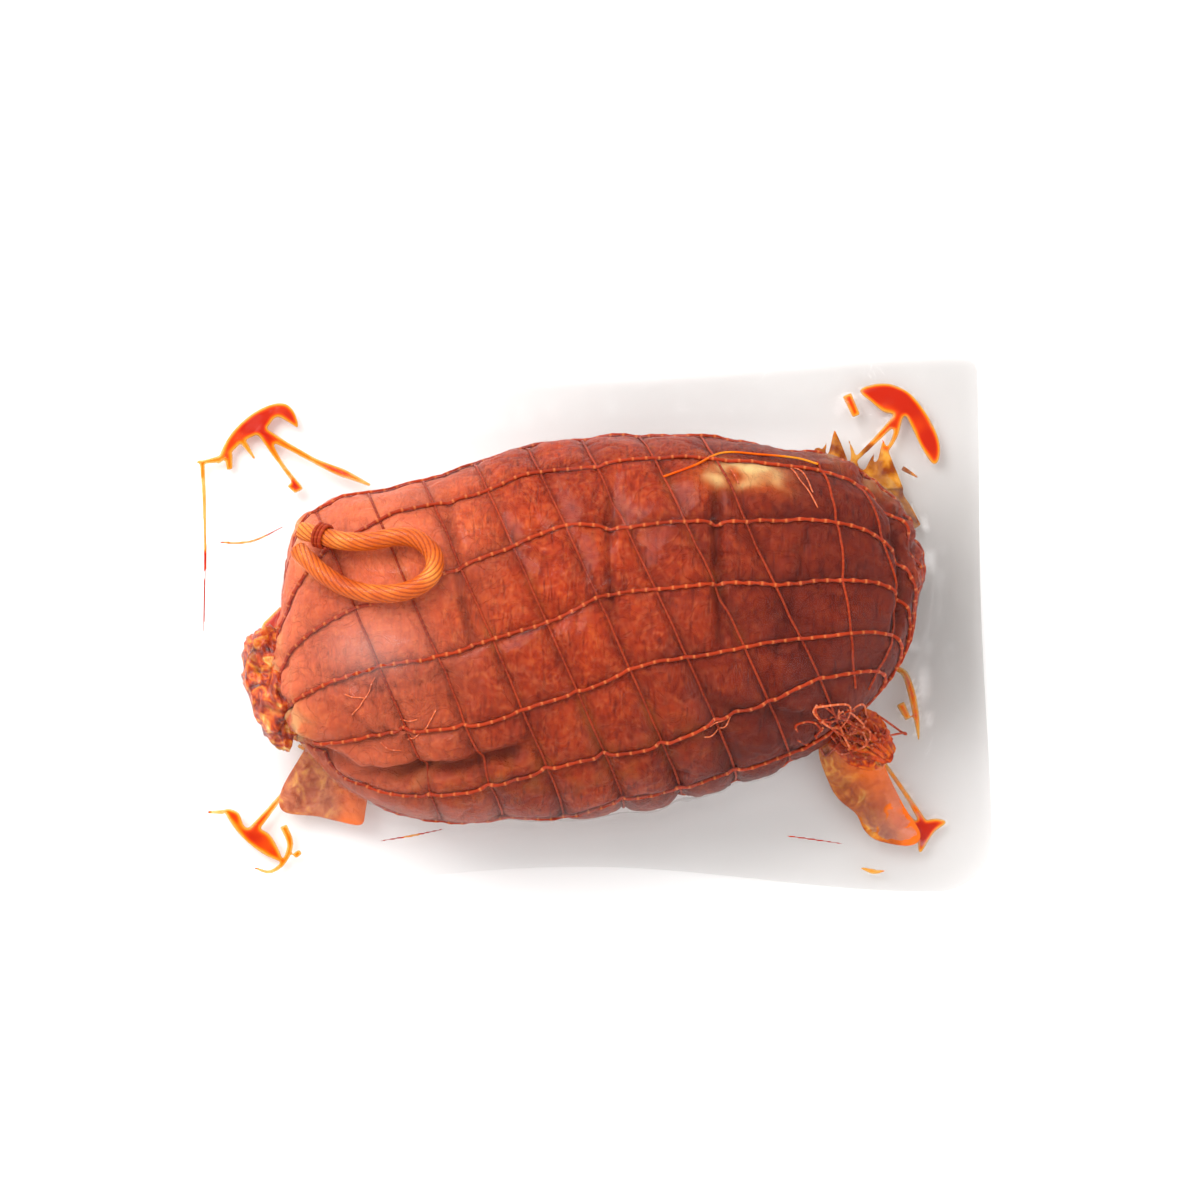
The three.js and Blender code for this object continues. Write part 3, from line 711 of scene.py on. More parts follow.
def makeSausage():
    bpy.ops.object.select_all(action="DESELECT")
    bpy.ops.mesh.primitive_uv_sphere_add(segments=144, ring_count=72, radius=1)
    piece = bpy.context.object
    piece.name = "sausage_casing"
    co = vertexArray(piece)
    angle = np.arctan2(co[:, 1], co[:, 0])
    latitude = np.arcsin(np.clip(co[:, 2], -1, 1))
    setVertices(piece, bodyPoint(angle, latitude, 0) * mm)
    applyModifier(piece, "REMESH", mode="VOXEL", voxel_size=sausage["voxel"] * mm, use_smooth_shade=True)
    applyModifier(piece, "SMOOTH", factor=0.5, iterations=3)
    co = vertexArray(piece)
    out = normalArray(piece)
    threads = KDTree(sum(len(r) for r in hoopRoutes + strandRoutes))
    kind = []
    for route, isHoop in [(r, 1) for r in hoopRoutes] + [(r, 0) for r in strandRoutes]:
        for p in route:
            threads.insert(p, len(kind))
            kind.append(isHoop)
    threads.balance()
    nearest = [threads.find(p) for p in co]
    away = np.array([n[2] for n in nearest]) / mm
    isHoop = np.array([kind[n[1]] for n in nearest])
    x, y, z = (co / mm).T
    lower = smoothStep(-y, 0, 60)
    pull = np.where(isHoop == 1, 0.75 + 0.9 * lower, 0.55 + 0.25 * lower)
    uneven = 0.7 + 0.5 * noiseAt(co, 45, 3)
    groove = pull * sausage["groove"] * np.exp(-(away / 1.5) ** 2)
    valley = pull * sausage["bulge"] * np.exp(-(away / 4.5) ** 2)
    rise = sausage["lumps"] * noiseAt(co, 34, 1, 2) + 0.5 * noiseAt(co, 8, 2)
    rise = rise - 0.7 * (1 - np.minimum(2.6 * np.abs(noiseAt(co, 14, 61, 2)), 1)) ** 3
    rise = rise - (groove + valley) * uneven
    # painted shade along the thread grooves; the creases, pleats and folds below add theirs
    sunk = np.clip(0.55 * np.exp(-(away / 1.2) ** 2) * np.minimum(pull, 1), 0, 1)
    plan = np.stack([x, y], axis=1)
    top = smoothStep(z, 36, 50)
    for points, depth, width in sausage["creases"]:
        d = distanceToPath(plan, points) + 1.2 * noiseAt(co, 9, 9, 2)
        cut = np.exp(-(d / width) ** 2) * top * (0.8 + 0.5 * noiseAt(co, 16, 19))
        for end in (points[0], points[-1]):
            cut = cut * smoothStep(np.hypot(x - end[0], y - end[1]), 0, 6 + 1.2 * depth)
        rise = rise - depth * cut
        sunk = np.maximum(sunk, min(0.9, 0.4 + 0.06 * depth) * np.clip(cut, 0, 1))
    # pleats run into the tied left end and the gathered right end
    for centre, span, count in sausage["pleats"]:
        offset = co / mm - np.array(centre)
        reach = np.linalg.norm(offset, axis=1)
        pleat = np.abs(np.sin(count * np.arctan2(offset[:, 1], offset[:, 2]) + 0.8 * noiseAt(co, 20, 4)))
        fade = np.exp(-(reach / span) ** 2)
        rise = rise - fade * sausage["pleatDepth"] * (1 - pleat) ** 2
        sunk = np.maximum(sunk, 0.7 * fade * (1 - pleat) ** 2)
    # fine pleats fan out above and below the lower left fold
    foldWay = np.exp(-(distanceToPath(plan, sausage["fan"]) / 9) ** 2) * top
    fan = np.abs(np.sin(0.62 * x + 0.25 * y + 2.4 * noiseAt(co, 14, 33)))
    rise = rise - foldWay * sausage["fanDepth"] * (1 - fan) ** 2
    sunk = np.maximum(sunk, 0.5 * foldWay * (1 - fan) ** 3)
    # casing left over at the ends lies in sharp folds
    crumple = 1 - 2.4 * np.abs(noiseAt(co, 13, 41, 3))
    width = sausage["edgeWidth"]
    edgeFold = np.exp(-(distanceToPath(plan, sausage["rightEdge"]) / width) ** 2) * smoothStep(x, 74, 92)
    endFold = np.exp(-(distanceToPath(plan, sausage["leftEdge"]) / width) ** 2)
    folded = np.maximum(edgeFold, endFold)
    rise = rise + folded * (sausage["crumple"] * crumple + 1.0)
    sunk = np.maximum(sunk, 0.8 * folded * (crumple < 0.15))
    under = 1 - smoothStep(z, body["floor"] + 0.5, body["floor"] + 8)
    rise = rise * (1 - under) - 0.6 * under
    setVertices(piece, co + out * rise[:, None] * mm)
    setAttribute(piece, "sunk", sunk)
    # fat soaks a patch at the upper right, some of the crumple, a few grooves and the lower side
    midX, midY, wide, deepY = sausage["fattyPatch"]
    patch = np.exp(-((x - midX) / wide) ** 4 - ((y - midY + 0.1 * (x - midX)) / deepY) ** 4)
    patch = patch * smoothStep(z, 46, 60)
    soaked = patch * np.clip(0.8 + noiseAt(co, 10, 6, 2), 0, 1)
    soaked = np.maximum(soaked, folded * np.clip(0.35 + 1.4 * noiseAt(co, 9, 8, 2), 0, 0.85)
                        * (1 - smoothStep(-y, -46, -30) * (x > 60)))
    stain = smoothStep(noiseAt(co, 26, 71, 2), 0.16, 0.5) * np.exp(-(away / 1.9) ** 2) * isHoop
    band = np.exp(-(distanceToPath(plan, sausage["fattyBand"]) / 8) ** 2)
    band = band * smoothStep(noiseAt(co, 7, 73, 3), -0.1, 0.5)
    soaked = np.maximum(soaked, np.maximum(0.42 * stain * (x < 60), 0.4 * band))
    footFold = np.exp(-(distanceToPath(plan, sausage["fattyFoot"]) / 3.5) ** 2)
    soaked = np.maximum(soaked, 0.6 * footFold)
    setAttribute(piece, "fat", soaked)
    # painted shade darkens the casing towards the right, the lower side and beside the threads, away
    # from the light at the upper left, over a random darker tone; painted light pales it towards the tied
    # end
    deep = 0.08 + 0.8 * smoothStep(x, -5, 105) + 0.3 * lower
    deep = deep + 0.22 * smoothStep(noiseAt(co, 26, 7, 2), 0.1, 0.7)
    deep = deep + 0.3 * np.exp(-(away / 4) ** 2) * (0.7 + 0.6 * noiseAt(co, 18, 23))
    deep = deep * (1 - 0.6 * folded) * (1 - 0.85 * patch)
    # painted light: paler towards the tied end, less on the lower side
    pale = 0.5 * smoothStep(-x, 15, 80) * (0.8 + 0.5 * noiseAt(co, 30, 15, 2)) * (1 - 0.4 * lower)
    setAttribute(piece, "pale", np.clip(pale, 0, 0.7))
    setAttribute(piece, "deep", np.clip(deep, 0, 0.93))
    finishPiece(piece, casingFinish)
    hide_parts("sausage")
    return piece


sausageCasing = makeSausage()
sausageTree = treeOf(sausageCasing)
print("sausage shaped,", len(sausageCasing.data.polygons), "faces")


def settle(route, height):
    # lays a thread in the groove that it has pressed, straight in from where it was drawn
    out = []
    for p in route:
        core = Vector((0.8 * p[0], -0.003, body["middle"] * mm))
        way = (Vector(p) - core).normalized()
        hit, normal, _, _ = sausageTree.ray_cast(Vector(p) + way * 0.02, -way, 0.05)
        if hit is None:
            hit, normal, _, _ = sausageTree.find_nearest(Vector(p))
        out.append(hit + normal * height * mm)
    return np.array([tuple(p) for p in out])


def soften(route, rounds, closed):
    for _ in range(rounds):
        middle = (np.roll(route, 1, axis=0) + 2 * route + np.roll(route, -1, axis=0)) / 4
        if closed:
            route = middle
        else:
            route = np.vstack([route[:1], middle[1:-1], route[-1:]])
    return route


def makeNet():
    radius = net["hoopRadius"] * mm
    for i, route in enumerate(hoopRoutes):
        path = soften(settle(route, 0.5), 9, True)
        section = pliedSection(radius, 2, 2.6 * mm, 0.22, 8)
        piece = sweptPiece(f"hoop_thread_{i + 1:02d}", path, section, hoopFinish, closed=True)
        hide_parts(f"net_hoop_{i + 1:02d}")
    radius = net["strandRadius"] * mm
    for i, route in enumerate(strandRoutes):
        path = soften(settle(route, 0.8), 9, False)
        section = pliedSection(radius, 2, 9.8 * mm, 0.25, 8, wave=0.14, waveLength=net["stitch"] * mm)
        piece = sweptPiece(f"knitted_strand_{i + 1:02d}", path, section, strandFinish)
        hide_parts(f"net_strand_{i + 1:02d}")


makeNet()
print("net drawn over it")


def middleOf(node):
    low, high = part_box(node)
    return [(low[k] + high[k]) / 2 / mm for k in range(3)]


knot = {
    "offset": (8, -0.5, 0),   # from the middle of the CAD solid
    "size": (21, 40, 32),
    "turn": 0.3,
    "pleats": 14,
    "depth": 0.06,
}
bunch = {
    "offset": (-6, 3, 6),
    "size": (28, 18, 17),
    "turn": -0.62,
    "pleats": 16,
    "depth": 0.4,
}


def makeGather(name, shape, node, material, seed):
    # drawn together: a ball folded into pleats that run to its tip, then crumpled
    bpy.ops.object.select_all(action="DESELECT")
    bpy.ops.mesh.primitive_uv_sphere_add(segments=160, ring_count=80, radius=1)
    piece = bpy.context.object
    piece.name = name
    co = vertexArray(piece)
    around = np.arctan2(co[:, 1], co[:, 2])
    fold = np.abs(np.sin(shape["pleats"] / 2 * around + 2.2 * noiseAt(co, 700, seed))) ** 0.7
    swell = 1 - shape["depth"] + shape["depth"] * fold
    co = co * np.stack([np.ones(len(co)), swell, swell], axis=1)
    big = 1 - 2.2 * np.abs(noiseAt(co, 900, seed + 4, 2))
    crumple = 1 - 2.2 * np.abs(noiseAt(co, 400, seed + 1, 2))
    co = co + normalArray(piece) * (0.24 * big + 0.07 * crumple)[:, None]
    co = co * np.array(shape["size"]) / 2
    c, s = math.cos(shape["turn"]), math.sin(shape["turn"])
    co = np.stack([co[:, 0] * c - co[:, 1] * s, co[:, 0] * s + co[:, 1] * c, co[:, 2]], axis=1)
    setVertices(piece, (co + np.array(middleOf(node)) + np.array(shape["offset"])) * mm)
    bpy.ops.object.shade_smooth()
    # painted shade in the pleat folds and the crumple hollows
    setAttribute(piece, "sunk", np.clip(0.8 * (1 - fold) ** 2 + 0.5 * (crumple < 0.1), 0, 1))
    finishPiece(piece, material)
    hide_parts(node)
    return piece


tails = {"base": 7.2, "voxel": 0.6}
casingTail = {
    "outline": [(-100, -44), (-106, -52), (-112.8, -64), (-112.3, -72), (-99.4, -74), (-91.6, -75.8),
                (-83, -77.2), (-81.3, -72), (-80, -60), (-82, -48), (-90, -40)],
    "thick": 4.5,
    "crumple": 1.6,
    "soakedEdge": [(-82, -56), (-81.5, -70), (-83.5, -78)],
    "root": (-92, -42, 7, 24),   # x, y, how far it rises there, and how far off that begins
}
netTail = {
    "outline": [(88.6, -50), (93, -62), (97, -68), (103, -73), (106, -79), (111, -83), (122.9, -85),
                (127.2, -80.7), (121, -70), (116, -60), (110, -47), (102, -40), (92, -42)],
    "thick": 3.6,
    "crumple": 1.8,
    "soakedEdge": [(104, -44), (114, -58), (122, -70), (128, -80)],
    "root": (99, -44, 13, 24),
}


def makeFlap(name, shape, node, material, seed):
    # a flat piece cut to an outline, given a thickness, rounded and crumpled; it rises towards its root
    base, thick, root = tails["base"], shape["thick"], shape["root"]
    line = smoothPath([(x, y, 0) for x, y in shape["outline"]], 1.2, closed=True)
    solid = bmesh.new()
    face = solid.faces.new([solid.verts.new((x * mm, y * mm, base * mm)) for x, y, _ in line])
    solid.normal_update()
    if face.normal.z < 0:
        face.normal_flip()
    made = bmesh.ops.extrude_face_region(solid, geom=[face])
    top = [v for v in made["geom"] if isinstance(v, bmesh.types.BMVert)]
    bmesh.ops.translate(solid, verts=top, vec=(0, 0, thick * mm))
    bmesh.ops.recalc_face_normals(solid, faces=solid.faces)
    mesh = bpy.data.meshes.new(name)
    solid.to_mesh(mesh)
    solid.free()
    piece = bpy.data.objects.new(name, mesh)
    bpy.context.collection.objects.link(piece)
    applyModifier(piece, "REMESH", mode="VOXEL", voxel_size=tails["voxel"] * mm, use_smooth_shade=True)
    applyModifier(piece, "SMOOTH", factor=0.6, iterations=5)
    co = vertexArray(piece)
    plan = co[:, :2] / mm
    closed = np.vstack([line[:, :2], line[:1, :2]])
    inside = distanceToPath(plan, closed)
    high = np.clip((co[:, 2] / mm - base) / thick, 0, 1)
    ridge = 1 - np.abs(noiseAt(co, 9, seed, 3)) * 2.2
    lift = ridge * smoothStep(inside, 0, 4) - 0.5 * (1 - smoothStep(inside, 0, 5))
    lift = high * shape["crumple"] * lift
    slope = 1 - smoothStep(np.hypot(plan[:, 0] - root[0], plan[:, 1] - root[1]), 2, root[3])
    co[:, 2] += (lift + root[2] * slope) * mm
    setVertices(piece, co)
    # painted shade in the low parts of the crumple
    setAttribute(piece, "sunk", np.clip(0.35 * (ridge < 0.35) * high, 0, 1))
    # fat collects in the fold along one edge
    edgeLine = distanceToPath(plan, shape["soakedEdge"]) + 2 * noiseAt(co, 8, seed + 3)
    setAttribute(piece, "soaked", 1 - smoothStep(edgeLine, 5, 14))
    finishPiece(piece, material)
    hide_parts(node)
    return piece


knotPiece = makeGather("tied_casing_end", knot, "casing_knot", crumpledFinish, 1)
bunchPiece = makeGather("gathered_net", bunch, "net_gather", bunchFinish, 2)
casingTailPiece = makeFlap("folded_casing_tail", casingTail, "casing_tail", tailFinish, 3)
netTailPiece = makeFlap("net_tail_bunch", netTail, "net_tail", netTailFinish, 4)


def threadPiece(name, points, radius, node, finish, lift=None):
    path = smoothPath(np.array(points) * mm, 0.5 * mm)
    if lift is not None:
        path = soften(settle(path, lift), 6, False)
    piece = sweptPiece(name, path, pliedSection(radius * mm, 2, 3 * mm, 0.2, 8), finish)
    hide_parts(node)
    return piece


def onTop(points, lift):
    # plan points set on the casing's top side
    out = []
    for x, y in points:
        hit = sausageTree.ray_cast(Vector((x, y, 120)) * mm, Vector((0, 0, -1)))
        out.append((x, y, hit[0].z / mm + lift))
    return out


loose = {
    "rings": [  # the last two rings of the net, drawn in to the gathered end
        [(87, 53), (92.5, 36), (95.5, 18), (97, 0), (99, -18), (100, -31)],
        [(101, 44), (109, 30), (113.5, 14), (115, -3), (112, -18), (105, -31)],
    ],
    "cutEnds": [
        [(77, 50), (80, 46), (83, 42), (86.5, 35)], [(77, 51), (81, 49), (85, 41)],
        [(55, 49), (57.5, 44)], [(45, -50), (50, -46), (55, -41)], [(47, -46), (53, -43)],
        [(-86, -34), (-79, -36)], [(-76, -29), (-79, -36), (-84, -42)], [(-67, -45), (-60, -44)],
        [(-64, -52), (-57, -47), (-53, -41)], [(-73, -52), (-66, -55)],
    ],
    "cutRadius": 0.26,
    "slackThreads": 16,
    "slackRadius": 0.45,
    "slackSeed": 7,
    "slackOffset": (-6, 3, 9),   # from the middle of the gather
    "slackSpread": (7, 4, 1.4),
}


def makeLooseThreads():
    for i, points in enumerate(loose["rings"]):
        threadPiece(f"gathered_ring_{i + 1}", onTop(points, 0.5), net["hoopRadius"], "net_gather",
                    hoopFinish, 0.6)
    for i, points in enumerate(loose["cutEnds"]):
        threadPiece(f"cut_end_{i + 1:02d}", onTop(points, 1.0), loose["cutRadius"],
                    "net_gather" if points[0][0] > 0 else "casing_knot", cutFinish, 0.5)
    rng = np.random.default_rng(loose["slackSeed"])
    covers = [sausageTree, treeOf(bunchPiece), treeOf(netTailPiece)]
    low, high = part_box("net_gather")
    middle = (np.array(low) + np.array(high)) / 2 / mm + np.array(loose["slackOffset"])
    for i in range(loose["slackThreads"]):
        # a slack loop of thread that lies on the bunch
        turn = rng.uniform(0, 2 * math.pi)
        wide = rng.uniform(2.5, 5)
        centre = middle + rng.normal(0, 1, 3) * np.array(loose["slackSpread"])
        points = []
        for k in range(7):
            a = turn + k * rng.uniform(0.5, 1.1)
            points.append(centre + np.array([math.cos(a) * wide * 1.4, math.sin(a) * wide, 0]))
        for point in points:
            # laid on whatever is highest there
            hits = [t.ray_cast(Vector((point[0], point[1], 120)) * mm, Vector((0, 0, -1))) for t in covers]
            point[2] = max([h[0].z / mm for h in hits if h[0] is not None] + [8]) + 0.5
        threadPiece(f"slack_thread_{i + 1:02d}", points, loose["slackRadius"], "net_gather",
                    strandFinish if i % 3 else cutFinish)


makeLooseThreads()


binding = {"turns": 3, "radius": 0.75, "width": 4.2}


def makeBinding():
    low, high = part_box("loop_binding")
    centre = np.array([(low[k] + high[k]) / 2 for k in range(3)])
    i = int(np.argmin(np.linalg.norm(cordRoute - centre, axis=1)))
    i = min(max(i, 2), len(cordRoute) - 3)
    ahead = cordRoute[i + 2] - cordRoute[i - 2]
    ahead = ahead / np.linalg.norm(ahead)
    side = np.cross(ahead, [0, 0, 1.0])
    side = side / np.linalg.norm(side)
    up = np.cross(side, ahead)
    t = np.linspace(0, binding["turns"] * 2 * math.pi, 100)
    radius = (loop["diameter"] / 2 + binding["radius"]) * mm
    path = cordRoute[i] + radius * (np.cos(t)[:, None] * side + np.sin(t)[:, None] * up)
    path = path + ahead * ((t / t[-1] - 0.5) * binding["width"] * mm)[:, None]
    section = pliedSection(binding["radius"] * mm, 2, 3 * mm, 0.2, 8)
    piece = sweptPiece("twine_binding", path, section, hoopFinish)
    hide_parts("loop_binding")
    return piece


makeBinding()
print("ends and binding made")

pools = {  # caps are filled outlines, arms are routes with half widths
    "fat_upper_left": {
        "caps": [
            [(-138, 60.2), (-135.4, 67.9), (-130.3, 74.8), (-122.6, 80.8), (-114.5, 83.4),
             (-109.7, 80.8), (-107.5, 74), (-110.5, 75.5), (-115.7, 78), (-119.1, 74.3), (-123.1, 71.4),
             (-128.6, 68.5), (-132.9, 64.5)],
        ],
        "arms": [
            ([(-122.6, 73), (-110, 66), (-99.4, 60.2), (-87.3, 55), (-80, 51.6)],
             [2.2, 1.3, 1.1, 1.7, 0.6]),
            ([(-121, 71.5), (-114, 60.2), (-106.2, 50)], [1.8, 0.9, 1.1]),
            ([(-137, 62), (-143, 61), (-146, 61)], [1.4, 1, 0.6]),
            ([(-128, 68), (-124, 62)], [1.2, 0.5]),
            ([(-134, 64), (-133.5, 58)], [1.6, 1.2]),
            ([(-144, 61), (-143, 45), (-142.5, 20), (-143, -4)], [1.0, 0.7, 0.5, 0.4]),
            ([(-137, 30), (-125, 30.5), (-113, 36)], [0.5, 0.6, 0.4]),
            ([(-111, 52), (-108, 49)], [0.9, 0.7]),
            ([(-113, 5), (-117.5, -2), (-122.5, -9.5)], [1.2, 3.2, 1.4]),
        ],
    },
    "fat_upper_right": {
        "caps": [
            [(105.4, 88), (110.9, 90.6), (117.8, 90.4), (124.7, 86.6), (130.7, 79), (135, 70),
             (135.5, 62.8), (133, 60), (128.6, 66.2), (125.3, 73.1), (122.5, 78.5), (119.5, 79.1),
             (114.7, 79.6), (110, 83.4)],
        ],
        "arms": [
            ([(121.6, 80), (113.5, 71.4), (102.3, 60.2)], [1.9, 1.2, 0.8]),
            ([(120.4, 78.3), (117.8, 68.8), (110, 58)], [1.5, 0.9, 0.6]),
            ([(100.4, 86.5), (104, 78.3)], [1.9, 1.6]),
            ([(121.2, 58.5), (127.2, 54.8)], [1.1, 0.5]),
            ([(86, 62), (98, 58), (110, 52), (120, 45), (127, 36)], [1.5, 3, 3.6, 3.4, 1.6]),
            ([(96, 56), (96.4, 64), (95.6, 73)], [6.5, 3, 0.3]),
            ([(90, 58), (91, 63), (92.6, 68)], [2.4, 1.2, 0.3]),
            ([(103, 58), (102.5, 64), (101, 69)], [2, 0.9, 0.3]),
            ([(115, 50), (114.8, 59), (114, 69)], [7, 3.4, 0.3]),
            ([(108, 54), (109, 59), (110.6, 64)], [2.4, 1.2, 0.3]),
            ([(121, 44), (119.5, 52), (117.5, 58)], [2.4, 1.0, 0.3]),
            ([(90, 60), (89, 66)], [1.6, 1.2]),
        ],
    },
    "fat_lower_left": {
        "caps": [
            [(-134.6, -71.2), (-129.4, -72.1), (-126.9, -77.5), (-122.6, -78), (-117, -81),
             (-112.8, -90), (-118.3, -88.6), (-124.3, -84.6), (-130.3, -78.6)],
        ],
        "arms": [
            ([(-124.3, -79.5), (-118.3, -72.4), (-111.7, -64.3)], [1.9, 1.4, 0.9]),
            ([(-112.3, -77.2), (-109.7, -84.1), (-112.3, -91), (-117.4, -94.5), (-123.1, -93)],
             [1.5, 1.3, 1.0, 0.8, 0.5]),
            ([(-107.6, -87), (-106.4, -88.6)], [1.7, 1.5]),
            ([(-141, -72), (-135, -72)], [0.5, 1.0]),
            ([(-107, -47), (-98, -51), (-88, -57), (-84, -62)], [0.8, 1.6, 2.2, 1.2]),
            ([(-76, -83), (-64, -81), (-52, -78.5)], [0.3, 0.6, 0.3]),
        ],
    },
    "fat_lower_right": {
        "caps": [
            [(131.5, -74.6), (137.2, -75.8), (132.4, -79.8), (127.2, -87.5), (126, -82.4),
             (123.8, -78.9)],
        ],
        "arms": [
            ([(113.5, -53.2), (122.9, -66.9), (129.8, -78.1)], [0.9, 1.0, 1.6]),
            ([(102, -49), (113.6, -64), (127.2, -79.5)], [0.8, 1.0, 1.8]),
            ([(105, -93), (110, -94.5), (114, -94)], [0.5, 1.1, 0.4]),
            ([(114, -17), (121, -19), (124, -26), (126, -36), (127, -45)], [0.8, 1.4, 1.6, 1.3, 0.5]),
            ([(120, -31), (123, -37)], [1.8, 1.2]),
            ([(77, -81), (88, -82.5), (98, -84)], [0.4, 0.5, 0.3]),
        ],
    },
}
crownLine = [(84, 60), (98, 63), (110, 58), (117, 55), (124, 42)]   # casing folds soaked brown
seepLine = [(30, 46), (41, 50), (52, 56), (66, 55.5), (79, 54.5), (87, 52)]
poolHalfThickness = 1.3


def makePool(name, pool):
    parts = []
    for outline in pool["caps"]:
        line = smoothPath([(x, y, 0) for x, y in outline], 1.0, closed=True)
        count = len(line)
        verts = np.vstack([line + [0, 0, poolHalfThickness], line - [0, 0, poolHalfThickness]])
        faces = [tuple(range(count)), tuple(range(2 * count - 1, count - 1, -1))]
        faces += [(i, count + i, count + (i + 1) % count, (i + 1) % count) for i in range(count)]
        parts.append((verts, faces))
    for points, radii in pool["arms"]:
        path = smoothPath([(x, y, 0) for x, y in points], 1.0)
        widths = np.interp(np.linspace(0, 1, len(path)), np.linspace(0, 1, len(radii)), radii)
        verts, faces, _ = sweepSection(path, lambda along, total: np.repeat(widths[:, None], 12, axis=1))
        parts.append((verts, faces))
    verts = []
    faces = []
    for v, f in parts:
        faces += [tuple(i + len(verts) for i in face) for face in f]
        verts += [tuple(p) for p in v]
    piece = meshPiece(name + "_pool", np.array(verts) * mm, faces, fatFinish)
    selectOnly(piece)
    bpy.ops.object.mode_set(mode="EDIT")
    bpy.ops.mesh.select_all(action="SELECT")
    bpy.ops.mesh.normals_make_consistent(inside=False)
    bpy.ops.object.mode_set(mode="OBJECT")
    applyModifier(piece, "REMESH", mode="VOXEL", voxel_size=0.5 * mm, use_smooth_shade=True)
    applyModifier(piece, "SMOOTH", factor=0.5, iterations=5)
    co = vertexArray(piece)
    plan = co[:, :2] / mm
    # how far each point lies from the pool's rim, in plan
    rim = [Vector((p[0], p[1], 0)) for p, n in zip(plan, normalArray(piece)) if abs(n[2]) < 0.3]
    rimTree = KDTree(len(rim))
    for i, point in enumerate(rim):
        rimTree.insert(point, i)
    rimTree.balance()
    inside = np.array([rimTree.find((p[0], p[1], 0))[2] for p in plan])
    spot = 0.72 + 0.6 * noiseAt(co, 12, 31, 2)
    crown = 1 - smoothStep(distanceToPath(plan, crownLine), 7, 10)
    setAttribute(piece, "brown", 0.85 * crown)
    setAttribute(piece, "depth", np.clip(spot * smoothStep(inside, 0.1, 2.2) + 0.25 * crown, 0, 1))
    low, _ = lowerFilmTop(plan[:, 0], plan[:, 1])
    co[:, 2] = (low + 1.0) * mm + co[:, 2] * 0.45
    setVertices(piece, co)
    finishPiece(piece, fatFinish)
    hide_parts(name)
    return piece


pack = {
    "corners": [  # x, y, radius, and how far the next edge bows in
        (155, -102, 22, 1.5), (150, 102, 6, 6), (-154, 96, 5, 0), (-155, -101, 22, 9),
    ],
    "edgeStep": 3.2,
    "knee": 6.0,         # height of the flange beside the sausage
    "edge": 2.5,         # and at the pack's edge
    "bodyRows": 100,
    "flangeRows": 40,
    "underRows": 34,
    "gap": 0.55,         # between the film and what it is drawn on to
    "pucker": 0.5,
    "footLatitude": math.radians(-52),   # where the lower film leaves the sausage
    # painted highlight: the milky shine on the left bulge
    "milkySpot": (-78, -18, 17, 11),     # x, y and half sizes of the pale shine on the left bulge
    # painted glints on the right flange: x, y and half sizes
    "brightPuckers": [(130.8, 23, 3, 4), (129.7, 36.7, 1.6, 2.2), (124, -9.5, 4, 1.4),
                      (129.3, -24.2, 2.2, 5.5), (130.8, -37, 1.4, 2.8)],
}


def packEdge():
    points = []
    corners = pack["corners"]
    for i, (x, y, radius, bow) in enumerate(corners):
        at = np.array([x, y], dtype=float)
        back = np.array(corners[i - 1][:2]) - at
        on = np.array(corners[(i + 1) % 4][:2]) - at
        back, on = back / np.linalg.norm(back), on / np.linalg.norm(on)
        centre = at + (back + on) * radius
        steps = max(3, int(radius * 1.57 / pack["edgeStep"]))
        for k in range(steps + 1):
            turn = k / steps * math.pi / 2
            points.append(centre + (-on * math.cos(turn) - back * math.sin(turn)) * radius)
        start = points[-1]
        nextRadius = corners[(i + 1) % 4][2]
        end = np.array(corners[(i + 1) % 4][:2]) - on * nextRadius
        count = int(np.linalg.norm(end - start) / pack["edgeStep"])
        across = np.array([-on[1], on[0]])
        for k in range(1, count):
            share = k / count
            points.append(start + (end - start) * share + across * bow * math.sin(math.pi * share) ** 2)
    return np.array(points)


edge = packEdge()
edgeAngle = np.arctan2(edge[:, 1], edge[:, 0])
edgeOrder = np.argsort(edgeAngle)


def edgeReach(angle):
    return np.interp(np.mod(angle + math.pi, 2 * math.pi) - math.pi, edgeAngle[edgeOrder],
                     np.hypot(edge[:, 0], edge[:, 1])[edgeOrder], period=2 * math.pi)


def lowerFilmTop(x, y):
    angle = np.arctan2(y, x)
    foot = bodyPoint(angle, np.full(len(x), pack["footLatitude"]), 1.2)
    footReach = np.hypot(foot[:, 0], foot[:, 1])
    share = np.clip((np.hypot(x, y) - footReach) / (edgeReach(angle) - footReach), 0, 1)
    wave = 0.8 * np.sin(x / 31 + 0.6) * np.cos(y / 27) * np.sin(math.pi * share)
    knee = foot[:, 2] + (pack["knee"] - foot[:, 2]) * smoothStep(share, 0, 0.15)
    fall = np.maximum(0, share - 0.15) / 0.85
    return knee + (pack["edge"] - pack["knee"]) * fall + wave, share


poolPieces = [makePool(name, pool) for name, pool in pools.items()]
threadPiece("seep_under_fold", onTop(seepLine, 1.4), 0.45, "fat_upper_right", fatFinish)
seep = bpy.data.objects["seep_under_fold"]
setAttribute(seep, "depth", np.clip(0.25 + 0.5 * noiseAt(vertexArray(seep), 12, 3), 0.1, 0.6))
print("fat pools made")


def filmMesh(name, grid, node, flip):
    # the first row of the grid closes on one point in the middle
    rows, columns = grid.shape[:2]
    verts = [tuple(grid[0].mean(axis=0))]
    faces = []
    for r in range(1, rows):
        verts += [tuple(p) for p in grid[r]]
    for c in range(columns):
        d = (c + 1) % columns
        faces.append((0, 1 + c, 1 + d))
        for r in range(rows - 2):
            a, b = 1 + r * columns, 1 + (r + 1) * columns
            faces.append((a + c, b + c, b + d, a + d))
    if flip:
        faces = [f[::-1] for f in faces]
    piece = meshPiece(name, verts, faces, filmFinish)
    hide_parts(node)
    return piece


